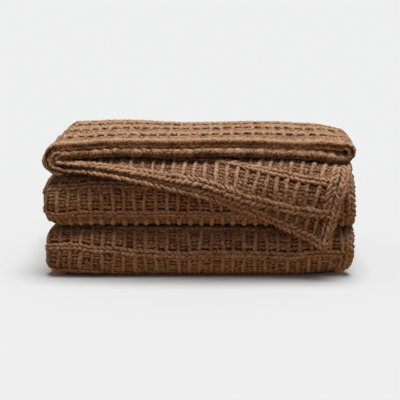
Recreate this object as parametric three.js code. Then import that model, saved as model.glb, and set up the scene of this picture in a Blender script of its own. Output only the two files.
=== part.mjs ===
// A chunky chenille knit throw, folded for a shelf. One rectangular cloth is folded in half and in
// half again across its length, which gives a pack of four plies, and the pack is then laid back
// and forth in five layers. The open end lies on top, at the front, and the two lower plies of that
// end slip forward and hang over the front folds as a turned-down corner.
//
// Millimetres. X runs to the right, Y runs away from the front, Z is up. The origin is the middle of
// the flat underside, on the surface that the throw rests on.

import * as THREE from "three";

// The knit
const CLOTH = 8; // thickness over the ribs
const RELIEF = 2.4; // height of ribs and welts above the ground of the knit
const RIB_PITCH = 16;
const WELT_PITCH = 42; // from one raised cross row, or the hem, to the next
const WELT_HALF_WIDTH = 6;
const HEM_ROUND = 3; // how far the hem's edge bulges past the flat cut

// The pack of four plies
const PLY_PITCH = 9; // ply to ply, where the pack is pressed
const OPEN_PLY_PITCH = 11; // ply to ply at the loose open end
const MOUTH = 4; // extra gap between the middle plies at the open end
const FOLD_X = 210.5; // centre of the left folds, left of the middle
const OPEN_DRAW_IN = 5; // how far the left folds are drawn in at the open end
const TURN_X = 216.5; // centre of the small fold at the right
const OUTER_HEM_X = 223; // side hem of the lowest ply
const INNER_HEM_X = 215; // side hem of the ply above it
const RANKS = 4;
const PACK_REACH = ((RANKS - 1) / 2) * PLY_PITCH; // middle of the pack to its outer plies' middles

// The five layers
const LAYER_PITCH = 37.2;
const TOP_LAYER_LIFT = 1.5; // extra room under the loose top layer
const LAYER_LENGTH = 194; // between the centres of the front and back folds
const BACK_END = 30; // how far the bottom layer's end runs past the back folds' centres
const FIRST_HEIGHT = CLOTH / 2 + PACK_REACH; // middle of the bottom layer
const heightOf = (layer) =>
  FIRST_HEIGHT + (layer - 1) * LAYER_PITCH + (layer === 5 ? TOP_LAYER_LIFT : 0);

// How the open end reaches past the front folds' centre line, from left to right. Outer is the
// lowest ply, inner the ply above it, and bend is the share of a full turn down over the front.
const OPEN_END = [
  { x: -232, outer: 34, inner: 34, bend: 0.0 },
  { x: -165, outer: 35, inner: 36, bend: 0.35 },
  { x: -119, outer: 40, inner: 43, bend: 0.6 },
  { x: -50, outer: 47, inner: 57, bend: 0.76 },
  { x: 16, outer: 61, inner: 72, bend: 0.9 },
  { x: 88, outer: 80, inner: 90, bend: 1.0 },
  { x: 160, outer: 111, inner: 100, bend: 1.0 },
  { x: 225, outer: 134, inner: 97, bend: 1.0 },
];
const UPPER_REACH = 34; // reach of the top ply
const UPPER_INNER_REACH = 38; // reach of the ply under it
const CORNER_SKEW = 0.28; // sideways run of the turned-down corner for each unit that it hangs

// The heap's soft shape
const FULL_HEIGHT = 200;
const CROWN = 0.125; // swell of the middle, as a share of the full height
const CROWN_Y = 82;
const CROWN_SPREAD = 90;
const BACK_PRESS = 0.03; // how much flatter the back is, as a share of the height
const LEFT_PUFF = 5; // how much the loose left end of the top stands above the middle
const PUFF_X = -120;
const PUFF_SPREAD = 70;
const RIGHT_DROOP = 11; // fall of the top at its right end
const RIGHT_DROOP_FROM = 130;
const LEFT_TAPER = 0.045; // how much the left side draws in towards the back
const TOP_TAPER = 0.013; // how much more both sides of the top do
const TAPER_FROM = -36; // it starts at the front folds
const TAPER_RUN = 120;
const WOBBLE = 1.6; // soft unevenness, in slow waves of these lengths over 2 pi
const WAVE = { x: 47, z: 31 };
const SLOW_WAVE = { x: 83, y: 61 };
const SWAY = { y: 52, z: 27 };

const mix = (a, b, t) => a + (b - a) * t;
const clamp01 = (t) => Math.min(1, Math.max(0, t));
const smooth = (t) => clamp01(t) ** 2 * (3 - 2 * clamp01(t));

// A column of the open-end table at any place across the throw
function openEnd(column, x) {
  const last = OPEN_END.length - 1;
  const after = OPEN_END.findIndex((row) => row.x > x);
  const next = after < 0 ? last : Math.max(1, after);
  const low = OPEN_END[next - 1];
  const high = OPEN_END[next];
  return mix(low[column], high[column], clamp01((x - low.x) / (high.x - low.x)));
}

// The section across the pack: four plies and the three turns that join them, from the lowest
// ply's side hem to the hem of the ply above it. Rank 0 is the lowest ply of the top layer.
const SEGMENTS = [
  { kind: "ply", rank: 0, from: OUTER_HEM_X, to: -FOLD_X },
  { kind: "turn", ranks: [0, 3], at: -FOLD_X, cells: 5 },
  { kind: "ply", rank: 3, from: -FOLD_X, to: TURN_X },
  { kind: "turn", ranks: [3, 2], at: TURN_X, cells: 2 },
  { kind: "ply", rank: 2, from: TURN_X, to: -FOLD_X },
  { kind: "turn", ranks: [2, 1], at: -FOLD_X, cells: 2 },
  { kind: "ply", rank: 1, from: -FOLD_X, to: INNER_HEM_X },
];

const STRIP_EDGES = [-34.5, 121.5]; // where each ply is divided into strips of ribs

// The way along the pack runs from the open end on top to the end under the back, in legs. These
// are the plies' faces that show, or that a showing face presses on, as rank and side.
const TOP_SHOWS = ["3+"];
const END_SHOWS = ["3+", "1+", "1-", "0+", "0-"];
const FRONT_SHOWS = ["0+"];

// Where each leg is divided into strips, as shares of its length
const PLAIN = [0, 1];
const CROWNED = [0, CROWN_Y / LAYER_LENGTH, 1];
const CROWNED_BACK = [0, 1 - CROWN_Y / LAYER_LENGTH, 1];
const END_PLACES = [1, 0.8, 0.56, 0.3, 0];
const TOP_WELTS = [1, 2, 3, 4, 5].map((n) => (n * WELT_PITCH - UPPER_REACH) / LAYER_LENGTH);
const FRONT_WELTS = [0.3, 0.667];
const FRONT_PLACES = [0, FRONT_WELTS[0], 0.48, FRONT_WELTS[1], 1];
const BACK_PLACES = [0, 0.2, 0.4, 0.6, 0.8, 1];
const LONGEST_FACET = 0.25; // a longer strip of a showing face is divided once more
const FOLD_OUTSIDE = Math.PI * (LAYER_PITCH / 2 + PACK_REACH + CLOTH / 2);

// The strips of one leg. Lines are the places inside a strip at which a showing face is divided,
// and a welt, if any, runs along the strip's start.
function strips(leg, places, shows = [], welts = [], legLength = 1) {
  return places.slice(1).map((to, i) => {
    const from = places[i];
    const beside = WELT_HALF_WIDTH / legLength / Math.abs(to - from);
    const lines = [0];
    if (welts.includes(from)) lines.push(beside);
    if (to - from > LONGEST_FACET) lines.push(0.5);
    if (welts.includes(to)) lines.push(1 - beside);
    lines.push(1);
    return { leg, from, to, shows, lines, welt: welts.includes(from) };
  });
}

const frontStrips = (leg) => strips(leg, FRONT_PLACES, FRONT_SHOWS, FRONT_WELTS, FOLD_OUTSIDE);

const ROWS = [
  ...strips("end", END_PLACES, END_SHOWS),
  ...strips("layer5", [0, ...TOP_WELTS, 1], TOP_SHOWS, TOP_WELTS, LAYER_LENGTH),
  ...strips("back54", BACK_PLACES, TOP_SHOWS),
  ...strips("layer4", CROWNED_BACK),
  ...frontStrips("front43"),
  ...strips("layer3", CROWNED),
  ...strips("back32", BACK_PLACES, TOP_SHOWS),
  ...strips("layer2", CROWNED_BACK),
  ...frontStrips("front21"),
  ...strips("layer1", CROWNED),
  ...strips("backEnd", PLAIN),
];

// The middle of the pack along its way: y, z and the direction of its upper side
function packAt(leg, t) {
  const layer = { layer5: 5, layer4: 4, layer3: 3, layer2: 2, layer1: 1 }[leg];
  if (layer) {
    const up = layer % 2 === 1 ? 1 : -1;
    return { y: (up > 0 ? t : 1 - t) * LAYER_LENGTH, z: heightOf(layer), ny: 0, nz: up };
  }
  if (leg === "backEnd") return { y: LAYER_LENGTH + t * BACK_END, z: heightOf(1), ny: 0, nz: 1 };
  const [upper, lower] = leg.slice(-2).split("").map(Number);
  const radius = (heightOf(upper) - heightOf(lower)) / 2;
  const middle = (heightOf(upper) + heightOf(lower)) / 2;
  const back = leg.startsWith("back");
  const out = Math.sin(t * Math.PI) * (back ? 1 : -1);
  const rise = Math.cos(t * Math.PI);
  const y = (back ? LAYER_LENGTH : 0) + radius * out;
  const facing = back ? 1 : -1; // the lowest ply is outside in a front fold
  return { y, z: middle + radius * rise, ny: out * facing, nz: rise * facing };
}

// How far the plies have spread towards the open end, from 0 to 1
function spread(leg, t) {
  if (leg === "end") return 1;
  return leg === "layer5" ? 1 - smooth(t) : 0;
}

// A ply's distance above the middle of the pack
function plyOffset(rank, x, open) {
  const pitch = mix(PLY_PITCH, OPEN_PLY_PITCH, open);
  const mouth = rank >= 2 ? MOUTH * open * smooth((x + FOLD_X) / FOLD_X) : 0;
  return rank * pitch - PACK_REACH + mouth;
}

// A point of the section: across, its offset in the pack, and the way its face looks
function sectionAt(segment, f, open) {
  const placed = (x) => (x === -FOLD_X ? x + OPEN_DRAW_IN * open : x);
  if (segment.kind === "ply") {
    const x = mix(placed(segment.from), placed(segment.to), f);
    const way = Math.sign(segment.to - segment.from);
    return { x, o: plyOffset(segment.rank, x, open), nx: 0, no: way, rank: segment.rank };
  }
  const at = placed(segment.at);
  const [start, finish] = segment.ranks.map((rank) => plyOffset(rank, at, open));
  const radius = Math.abs(finish - start) / 2;
  const outward = Math.sign(segment.at);
  const rising = Math.sign(finish - start);
  const across = Math.sin(f * Math.PI) * outward;
  const along = -Math.cos(f * Math.PI) * rising;
  const looks = rising === -outward ? 1 : -1; // the innermost fold shows its face to its own middle
  return {
    x: at + radius * across,
    o: (start + finish) / 2 + radius * along,
    nx: across * looks,
    no: along * looks,
    rank: segment.ranks[0],
    turn: true,
  };
}

// The open end past the front folds' centre line: straight out, or bent down over the front
function endAt(section, share, lift) {
  const base = heightOf(5);
  const lower = !section.turn && section.rank <= 1;
  const column = section.rank === 0 ? "outer" : "inner";
  const upperReach = section.rank === 3 ? UPPER_REACH : UPPER_INNER_REACH;
  if (!lower) {
    const reach = section.turn ? UPPER_REACH : upperReach;
    return { x: section.x + lift * section.nx, y: -share * reach, z: base + section.o + lift * section.no };
  }
  const s = share * openEnd(column, section.x);
  const bend = Math.max(0.01, openEnd("bend", section.x));
  const frontMiddle = (heightOf(4) + heightOf(3)) / 2;
  const radius = base + section.o - frontMiddle;
  const turned = Math.min(s / radius, Math.PI / 2);
  const angle = bend * turned;
  const hanging = s - turned * radius;
  const skew = CORNER_SKEW * smooth((section.x + FOLD_X) / (2 * FOLD_X)) * s;
  const arc = radius / bend;
  const outside = lift * section.no;
  const drop = arc * (1 - Math.cos(angle)) + hanging * Math.sin(angle);
  return {
    x: section.x - skew,
    y: -(arc + outside) * Math.sin(angle) - hanging * Math.cos(angle),
    z: base + section.o - drop + outside * Math.cos(angle),
  };
}

// The soft shape of the whole heap: a crown, a puffed left end and a drooping right one, sides that
// draw in towards the back, and slow waves
function soften({ x, y, z }) {
  const high = z / FULL_HEIGHT;
  const bell = (away) => Math.exp(-(away ** 2));
  const swell = CROWN * high * bell((y - CROWN_Y) / CROWN_SPREAD);
  const press = BACK_PRESS * smooth((y - CROWN_Y) / (LAYER_LENGTH - CROWN_Y));
  const puff = LEFT_PUFF * high ** 2 * bell((x - PUFF_X) / PUFF_SPREAD);
  const droop = RIGHT_DROOP * high ** 2 * smooth((x - RIGHT_DROOP_FROM) / (TURN_X - RIGHT_DROOP_FROM)) ** 2;
  const taper = (x < 0 ? LEFT_TAPER : 0) + TOP_TAPER * high ** 2;
  const wave = Math.sin(x / WAVE.x + z / WAVE.z) + Math.sin(x / SLOW_WAVE.x - y / SLOW_WAVE.y);
  const sway = Math.sin(y / SWAY.y + z / SWAY.z);
  return new THREE.Vector3(
    x * (1 - taper * smooth((y - TAPER_FROM) / TAPER_RUN)) + WOBBLE * sway * high,
    y + WOBBLE * wave * high,
    z * (1 + swell - press) + puff - droop + (WOBBLE / 2) * wave * high,
  );
}

// One point of the cloth's face (side 1) or back (side -1), a crest or a hollow by its ridge share
function clothPoint(segment, f, row, place, side, ridge) {
  const t = mix(row.from, row.to, place);
  const section = sectionAt(segment, f, spread(row.leg, t));
  const lift = side * (CLOTH / 2 - RELIEF * (1 - ridge));
  if (row.leg === "end") return soften(endAt(section, t, lift));
  const pack = packAt(row.leg, t);
  const o = section.o + lift * section.no;
  return soften({ x: section.x + lift * section.nx, y: pack.y + o * pack.ny, z: pack.z + o * pack.nz });
}

// The strips across: each ply in three strips of ribs, two lines to a rib, and each turn in steps
function columnStrips() {
  return SEGMENTS.flatMap((segment) => {
    if (segment.kind === "turn") {
      const steps = Array.from({ length: segment.cells }, (_, i) => i / segment.cells);
      return steps.map((from) => ({ segment, from, to: from + 1 / segment.cells, lines: 1 }));
    }
    const { from, to } = segment;
    const edges = to > from ? STRIP_EDGES : STRIP_EDGES.toReversed();
    const share = (x) => (x - from) / (to - from);
    return [from, ...edges].map((start, i) => {
      const end = [...edges, to][i];
      const ribs = Math.round(Math.abs(end - start) / RIB_PITCH);
      return { segment, from: share(start), to: share(end), lines: 2 * ribs };
    });
  });
}

// The closed skin of the cloth. Both faces share one set of strips; where a face shows, its strips
// are divided so that every rib and welt has its crest and its hollow.
function throwGeometry() {
  const columns = columnStrips();
  const positions = [];
  const triangles = [];
  const known = new Map();

  const shows = (c, r, side) => {
    if (c < 0 || r < 0 || c >= columns.length || r >= ROWS.length) return false;
    const { segment } = columns[c];
    if (segment.kind !== "ply") return false;
    return ROWS[r].shows.includes(segment.rank + (side > 0 ? "+" : "-"));
  };

  const keep = (key, make) => {
    if (!known.has(key)) {
      known.set(key, positions.length / 3);
      positions.push(...make().toArray());
    }
    return known.get(key);
  };

  const pointAt = (i) => new THREE.Vector3().fromArray(positions, 3 * i);

  // A corner on line k of a column and line m of a row, named the same from each strip it bounds
  const vertex = (c, k, r, m, side) => {
    const lastK = columns[c].lines;
    const lastM = ROWS[r].lines.length - 1;
    if (k === lastK && c + 1 < columns.length) return vertex(c + 1, 0, r, m, side);
    if (m === lastM && r + 1 < ROWS.length) return vertex(c, k, r + 1, 0, side);
    return keep([c, k, r, m, side].join(), () => {
      const across = k === 0 ? [c - 1, c] : k === lastK ? [c, c + 1] : [c];
      const along = m === 0 ? [r - 1, r] : m === lastM ? [r, r + 1] : [r];
      const inside = across.every((i) => along.every((j) => shows(i, j, side)));
      const place = ROWS[r].lines[m];
      const crest = k % 2 === 0 || (m === 0 && ROWS[r].welt);
      const column = columns[c];
      const f = mix(column.from, column.to, k / lastK);
      return clothPoint(column.segment, f, ROWS[r], place, side, inside && !crest ? 0 : 1);
    });
  };

  // Whether the edge along a column's strip or a row's strip is divided on this side
  const dividedAcross = (c, r, edge, side) => shows(c, r, side) || shows(c, r + (edge ? 1 : -1), side);
  const dividedAlong = (c, r, edge, side) => shows(c, r, side) || shows(c + (edge ? 1 : -1), r, side);

  const triangle = (a, b, c, side) => triangles.push(...(side > 0 ? [a, b, c] : [a, c, b]));

  for (const side of [1, -1]) {
    columns.forEach((column, c) =>
      ROWS.forEach((row, r) => {
        const K = column.lines;
        const M = ROWS[r].lines.length - 1;
        if (shows(c, r, side)) {
          for (let k = 0; k < K; k++)
            for (let m = 0; m < M; m++) {
              const [a, b] = [vertex(c, k, r, m, side), vertex(c, k + 1, r, m, side)];
              const [d, e] = [vertex(c, k + 1, r, m + 1, side), vertex(c, k, r, m + 1, side)];
              triangle(a, b, d, side);
              triangle(a, d, e, side);
            }
          return;
        }
        const rim = [];
        const steps = (n, divided) => (divided ? Array.from({ length: n }, (_, i) => i) : [0]);
        steps(K, dividedAcross(c, r, 0, side)).forEach((k) => rim.push(vertex(c, k, r, 0, side)));
        steps(M, dividedAlong(c, r, 1, side)).forEach((m) => rim.push(vertex(c, K, r, m, side)));
        steps(K, dividedAcross(c, r, 1, side)).forEach((k) => rim.push(vertex(c, K - k, r, M, side)));
        steps(M, dividedAlong(c, r, 0, side)).forEach((m) => rim.push(vertex(c, 0, r, M - m, side)));
        if (rim.length === 4) {
          triangle(rim[0], rim[1], rim[2], side);
          triangle(rim[0], rim[2], rim[3], side);
          return;
        }
        const corners = [vertex(c, 0, r, 0, side), vertex(c, K, r, 0, side)];
        corners.push(vertex(c, 0, r, M, side), vertex(c, K, r, M, side));
        const middle = keep(["middle", c, r, side].join(), () =>
          corners.reduce((sum, v) => sum.add(pointAt(v)), new THREE.Vector3()).divideScalar(4),
        );
        rim.forEach((v, i) => triangle(middle, v, rim[(i + 1) % rim.length], side));
      }),
    );
  }

  // The hems: a rounded edge all round the cloth, between the rims of its two faces. A place on the
  // rim is a column, its line, a row and its line, and so is the place just inside it.
  const middleAt = ([c, k, r, m]) => {
    const { segment, from, to, lines } = columns[c];
    return clothPoint(segment, mix(from, to, k / lines), ROWS[r], ROWS[r].lines[m], 0, 1);
  };

  const hemVertex = (rim, inside) =>
    keep(["hem", vertex(...rim, 1)].join(), () => {
      const edge = middleAt(rim);
      return edge.clone().add(edge.clone().sub(middleAt(inside)).setLength(HEM_ROUND));
    });

  // One strip of hem along a rim of so many lines, whose face and back may each be divided there
  const hemStrip = (lines, shown, rim, inside) => {
    const divided = shown(1) || shown(-1);
    const stops = divided ? Array.from({ length: lines + 1 }, (_, i) => i) : [0, lines];
    const hems = stops.map((k) => hemVertex(rim(k), inside(k)));
    for (const side of [1, -1]) {
      const across = divided && !shown(side);
      const turn = Math.ceil(lines / 2);
      stops.slice(1).forEach((to, i) => {
        const [a, b] = across ? [0, lines] : [stops[i], to];
        const first = vertex(...rim(a), side);
        const last = vertex(...rim(b), side);
        triangle(hems[i], hems[i + 1], across && i < turn ? first : last, side);
        if (!across) triangle(hems[i], last, first, side);
        else if (i + 1 === turn) triangle(hems[turn], last, first, side);
      });
    }
  };

  const lastRow = ROWS.length - 1;
  const lastColumn = columns.length - 1;
  columns.forEach(({ lines }, c) => {
    const last = ROWS[lastRow].lines.length - 1;
    const inner = ROWS[0].lines.length - 1;
    const openHem = [(side) => shows(c, 0, side), (k) => [c, k, 0, 0], (k) => [c, k, 0, inner]];
    const farHem = [
      (side) => shows(c, lastRow, side),
      (k) => [c, lines - k, lastRow, last],
      (k) => [c, lines - k, lastRow, 0],
    ];
    hemStrip(lines, ...openHem);
    hemStrip(lines, ...farHem);
  });
  ROWS.forEach(({ lines }, r) => {
    const last = lines.length - 1;
    const edge = columns[lastColumn].lines;
    const innerHem = [
      (side) => shows(lastColumn, r, side),
      (m) => [lastColumn, edge, r, m],
      (m) => [lastColumn, 0, r, m],
    ];
    const outerHem = [
      (side) => shows(0, r, side),
      (m) => [0, 0, r, last - m],
      (m) => [0, columns[0].lines, r, last - m],
    ];
    hemStrip(last, ...innerHem);
    hemStrip(last, ...outerHem);
  });

  const geometry = new THREE.BufferGeometry();
  geometry.setAttribute("position", new THREE.Float32BufferAttribute(positions, 3));
  geometry.setIndex(triangles);
  geometry.computeVertexNormals();
  return geometry;
}

const chenille = new THREE.MeshStandardMaterial({ color: 0x6e4a30, roughness: 0.95, metalness: 0 });

const folded = new THREE.Mesh(throwGeometry(), chenille);
folded.name = "throw";
folded.position.y = -LAYER_LENGTH / 2;

const part = new THREE.Group();
part.add(folded);

export default part;
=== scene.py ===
# %% [markdown]
# A folded chenille throw, made in Blender
#
# The throw is one knitted cloth. It is folded twice across its length into a pack of four plies, and the
# pack is laid back and forth in five layers. The lesson first loads the measured solid of that stack, then
# lays a thin sheet along the same folds, and then knits on the sheet: purl bars, ribs, raised cross rows
# and hems, all of them yarn that Geometry Nodes places on the cloth. All lengths are in metres.

# %% Load the measured stack
import math

import bpy
import numpy as np
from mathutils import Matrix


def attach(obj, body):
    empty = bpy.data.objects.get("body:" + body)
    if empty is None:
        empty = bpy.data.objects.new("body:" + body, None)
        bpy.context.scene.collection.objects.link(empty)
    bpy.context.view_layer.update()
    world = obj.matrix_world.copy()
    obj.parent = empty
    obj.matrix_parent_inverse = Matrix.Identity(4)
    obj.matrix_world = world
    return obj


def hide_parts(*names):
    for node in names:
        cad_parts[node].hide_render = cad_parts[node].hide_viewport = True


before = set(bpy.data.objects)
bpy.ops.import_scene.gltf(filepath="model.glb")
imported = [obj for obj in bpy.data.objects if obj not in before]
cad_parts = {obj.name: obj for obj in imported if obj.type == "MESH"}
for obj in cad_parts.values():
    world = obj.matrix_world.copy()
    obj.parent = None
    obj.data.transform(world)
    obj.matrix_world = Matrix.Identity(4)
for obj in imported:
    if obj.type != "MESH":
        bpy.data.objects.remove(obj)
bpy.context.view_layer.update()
MM = 0.001

# %% [markdown]
# The camera
#
# The throw is seen from a little above its front. A short lens from close by would spread the near layers,
# so a long lens stands well back and keeps the layers nearly parallel. The Standard view shows colours as
# they are mixed, where Blender's usual view would grey them.

# %% Camera at the front, a little above
AIM = (1.4 * MM, -133 * MM, 118.6 * MM)
CAMERA_DISTANCE = 1.8
CAMERA_RISE = math.radians(12)
LENS_LENGTH = 111.6
SENSOR_WIDTH = 36

lens = bpy.data.cameras.new("studio_camera")
lens.lens = LENS_LENGTH
lens.sensor_width = SENSOR_WIDTH
camera = bpy.data.objects.new("studio_camera", lens)
camera.location = (
    AIM[0],
    AIM[1] - CAMERA_DISTANCE * math.cos(CAMERA_RISE),
    AIM[2] + CAMERA_DISTANCE * math.sin(CAMERA_RISE),
)
camera.rotation_euler = (math.pi / 2 - CAMERA_RISE, 0, 0)
bpy.context.scene.collection.objects.link(camera)
bpy.context.scene.camera = camera
bpy.context.scene.view_settings.view_transform = "Standard"
print("camera stands at", tuple(round(value, 3) for value in camera.location))

# %% [markdown]
# The dome of light
#
# In a pale studio light comes from all sides, and what comes from below is warm, because brown yarn throws
# it to and fro. A whole room could be built for that. A dome is simpler: the world's colour is neutral above
# and warm below, and the camera alone sees a plain pale backdrop in its place.

# %% Dome of light
SKY_ABOVE = (0.27, 0.27, 0.27, 1)
SKY_BELOW = (0.52, 0.355, 0.225, 1)
BACKDROP = (0.87, 0.87, 0.87, 1)
HORIZON_BLUR = 0.15


def colour_mix(tree, share, first, second):
    """Mix two colours, the first of which may be a socket."""
    mixed = tree.nodes.new("ShaderNodeMix")
    mixed.data_type = "RGBA"
    tree.links.new(share, mixed.inputs["Factor"])
    if isinstance(first, tuple):
        mixed.inputs["A"].default_value = first
    else:
        tree.links.new(first, mixed.inputs["A"])
    mixed.inputs["B"].default_value = second
    return mixed.outputs["Result"]


def studio_sky():
    """Dome of light: neutral above, a warm bounce below, with a pale backdrop for the camera."""
    world = bpy.data.worlds.new("studio_sky")
    world.use_nodes = True
    tree = world.node_tree
    link = tree.links.new
    place = tree.nodes.new("ShaderNodeTexCoord")
    split = tree.nodes.new("ShaderNodeSeparateXYZ")
    link(place.outputs["Generated"], split.inputs[0])
    rise = tree.nodes.new("ShaderNodeMapRange")
    rise.inputs["From Min"].default_value = -HORIZON_BLUR
    rise.inputs["From Max"].default_value = HORIZON_BLUR
    link(split.outputs["Z"], rise.inputs["Value"])
    dome = colour_mix(tree, rise.outputs["Result"], SKY_BELOW, SKY_ABOVE)
    seen = tree.nodes.new("ShaderNodeLightPath").outputs["Is Camera Ray"]
    link(colour_mix(tree, seen, dome, BACKDROP), tree.nodes["Background"].inputs["Color"])
    tree.nodes["Background"].inputs["Strength"].default_value = 1.0
    return world


bpy.context.scene.world = studio_sky()
print("dome is", SKY_ABOVE[:3], "above and", SKY_BELOW[:3], "below")

# %% [markdown]
# The light from above
#
# A large soft lamp hangs over the throw, a little to the front and the right of it. An area lamp would leave
# a bright pool on the wide ground. A sun falls alike everywhere, and a wide one has soft shadows, as a large
# lamp does. It is slightly cool, so that lit yarn looks a little greyer than yarn in the warm shade.

# %% Broad sun
SUN_STRENGTH = 4.1
SUN_COLOUR = (1.0, 1.055, 1.12)
SUN_WIDTH = math.radians(34)
SUN_LEAN_FRONT = math.radians(4)
SUN_LEAN_RIGHT = math.radians(5)

lamp = bpy.data.lights.new("overhead_light", "SUN")
lamp.energy = SUN_STRENGTH
lamp.color = SUN_COLOUR
lamp.angle = SUN_WIDTH
overhead = bpy.data.objects.new("overhead_light", lamp)
overhead.rotation_euler = (SUN_LEAN_FRONT, SUN_LEAN_RIGHT, 0)
bpy.context.scene.collection.objects.link(overhead)
print("sun of strength", SUN_STRENGTH, "is", round(math.degrees(SUN_WIDTH)), "degrees wide")

# %% [markdown]
# The ground
#
# The throw lies on a plain pale card, matt and wide enough to fill the picture. A real card would also light
# the throw from below. The dome does that here, so the card gives no light back, and its tone can be set for
# the picture alone: slightly warm, which the cool sun makes neutral. The dome would then light the underside
# too, which in truth is pressed on the ground, so a dark card that the camera doesn't see lies under it.

# %% Pale ground and the shade below the stack
GROUND_HALF = 30.0
GROUND_COLOUR = (0.552, 0.529, 0.504, 1)
SHADE_HALF = (0.205, 0.128)
SHADE_COLOUR = (0.02, 0.015, 0.01, 1)
SHADE_DEPTH = 1 * MM


def flat_card(name, half, z, colour):
    """A flat matt card, lying level."""
    mesh = bpy.data.meshes.new(name)
    corners = [(-1, -1), (1, -1), (1, 1), (-1, 1)]
    mesh.from_pydata([(half[0] * x, half[1] * y, z) for x, y in corners], [], [(0, 1, 2, 3)])
    paint = bpy.data.materials.new(name)
    paint.use_nodes = True
    shader = paint.node_tree.nodes["Principled BSDF"]
    shader.inputs["Base Color"].default_value = colour
    shader.inputs["Roughness"].default_value = 1.0
    shader.inputs["Specular IOR Level"].default_value = 0.0
    mesh.materials.append(paint)
    card = bpy.data.objects.new(name, mesh)
    bpy.context.scene.collection.objects.link(card)
    return card


ground = flat_card("pale_ground", (GROUND_HALF, GROUND_HALF), 0.0, GROUND_COLOUR)
ground.visible_diffuse = False
shade = flat_card("shade_below", SHADE_HALF, -SHADE_DEPTH, SHADE_COLOUR)
shade.visible_camera = False
print("ground is", 2 * GROUND_HALF, "m wide, the shade", 2 * SHADE_HALF[0], "m")

# %% [markdown]
# The folds of the cloth
#
# A folded stack could be sculpted, or dropped as simulated cloth and hoped for. Here the folds are known, so
# they are written down: across the pack the cloth runs through four plies and three turns, and along the
# pack it runs through layers and folds. Every point of the flat cloth then has one place in the stack, and
# whatever is knitted on the flat cloth can be carried to its place.

# %% Sizes of the pack across the throw
PLY_PITCH = 9 * MM
PACK_REACH = 13.5 * MM
FOLD_X = 210.5 * MM
TURN_X = 216.5 * MM
OUTER_HEM_X = 226 * MM
INNER_HEM_X = 212 * MM

# Each stretch is a ply at one rank, or a turn from one rank to another. Rank 0 lies lowest in the top layer.
TOP_RANK = 3
UPPER_RANKS = (2, TOP_RANK)
STRETCHES = [
    {"ranks": (0, 0), "start": OUTER_HEM_X, "end": -FOLD_X, "cells": 32},
    {"ranks": (0, TOP_RANK), "start": -FOLD_X, "end": -FOLD_X, "cells": 12},
    {"ranks": (TOP_RANK, TOP_RANK), "start": -FOLD_X, "end": TURN_X, "cells": 32},
    {"ranks": (TOP_RANK, 2), "start": TURN_X, "end": TURN_X, "cells": 6},
    {"ranks": (2, 2), "start": TURN_X, "end": -FOLD_X, "cells": 20},
    {"ranks": (2, 1), "start": -FOLD_X, "end": -FOLD_X, "cells": 6},
    {"ranks": (1, 1), "start": -FOLD_X, "end": INNER_HEM_X, "cells": 32},
]
print(len(STRETCHES), "stretches of cloth across the pack")

# %% [markdown]
# Layers of the stack
#
# The pack is laid back and forth, from its open end on top to its last end at the bottom. The height of each
# layer could be read off the solid, but a pitch and a lift say more: the two upper layers lie a little
# higher than the pitch gives, because less weight presses them.

# %% Heights of the layers
TOP_LAYER = 5
LAYER_PITCH = 37.2 * MM
LAYER_LENGTH = 194 * MM
FIRST_HEIGHT = 17.5 * MM
UPPER_LIFT = {4: 4 * MM, TOP_LAYER: 5.5 * MM}


def layer_height(layer):
    """Height of the middle of a layer; layer 1 lies on the ground."""
    return FIRST_HEIGHT + (layer - 1) * LAYER_PITCH + UPPER_LIFT.get(layer, 0)


print("layers lie at", [round(layer_height(layer), 4) for layer in range(1, TOP_LAYER + 1)])

# %% [markdown]
# Knit along the pack
#
# The cross rows show at certain heights on the two front folds, so the knit has to arrive there in step.
# Rows could be set by eye on each fold, but the real cloth is one knit that passes through all of them. So
# its length is counted from the open end, leg by leg. On top the rows lie closer, on the bottom fold they
# are drawn apart, and the hidden legs take up the slack that brings a row to its height.

# %% Knit length of each leg
BACK_END = 30 * MM
TOP_REACH = 30 * MM
TOP_CLOSENESS, TOP_HEM_CLOSENESS, BOTTOM_CLOSENESS = 1.34, 1.5, 0.86
HEM_WIDTH = 12 * MM
WELT_PITCH = 42 * MM
HIDDEN_REPEATS = 4
MIDDLE_WELT_ON_FOLD = 0.65
BOTTOM_WELT_ON_FOLD = 0.49

OUTER_RADIUS = LAYER_PITCH / 2 + PACK_REACH + PLY_PITCH / 2
FOLD_ARC = math.pi * OUTER_RADIUS
BOTTOM_FOLD_KNIT = BOTTOM_CLOSENESS * FOLD_ARC
TOP_KNIT = TOP_HEM_CLOSENESS * TOP_REACH + TOP_CLOSENESS * LAYER_LENGTH
MIDDLE_SLACK = (HEM_WIDTH - TOP_KNIT - FOLD_ARC - MIDDLE_WELT_ON_FOLD * FOLD_ARC) % WELT_PITCH
FOURTH_KNIT = HIDDEN_REPEATS * WELT_PITCH + MIDDLE_SLACK
MIDDLE_START = TOP_KNIT + FOLD_ARC + FOURTH_KNIT
BACK_START = MIDDLE_START + FOLD_ARC + LAYER_LENGTH
BOTTOM_SLACK = (HEM_WIDTH - BACK_START - FOLD_ARC - BOTTOM_WELT_ON_FOLD * BOTTOM_FOLD_KNIT) % WELT_PITCH
SECOND_KNIT = HIDDEN_REPEATS * WELT_PITCH + BOTTOM_SLACK
BOTTOM_START = BACK_START + FOLD_ARC + SECOND_KNIT
FIRST_START = BOTTOM_START + BOTTOM_FOLD_KNIT
WHOLE_REPEATS = math.floor((FIRST_START + LAYER_LENGTH + BACK_END - 2 * HEM_WIDTH) / WELT_PITCH)
LAST_END = 2 * HEM_WIDTH + WHOLE_REPEATS * WELT_PITCH
print("knit length along the pack:", round(LAST_END, 3), "m, with", WHOLE_REPEATS, "repeats")

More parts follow.
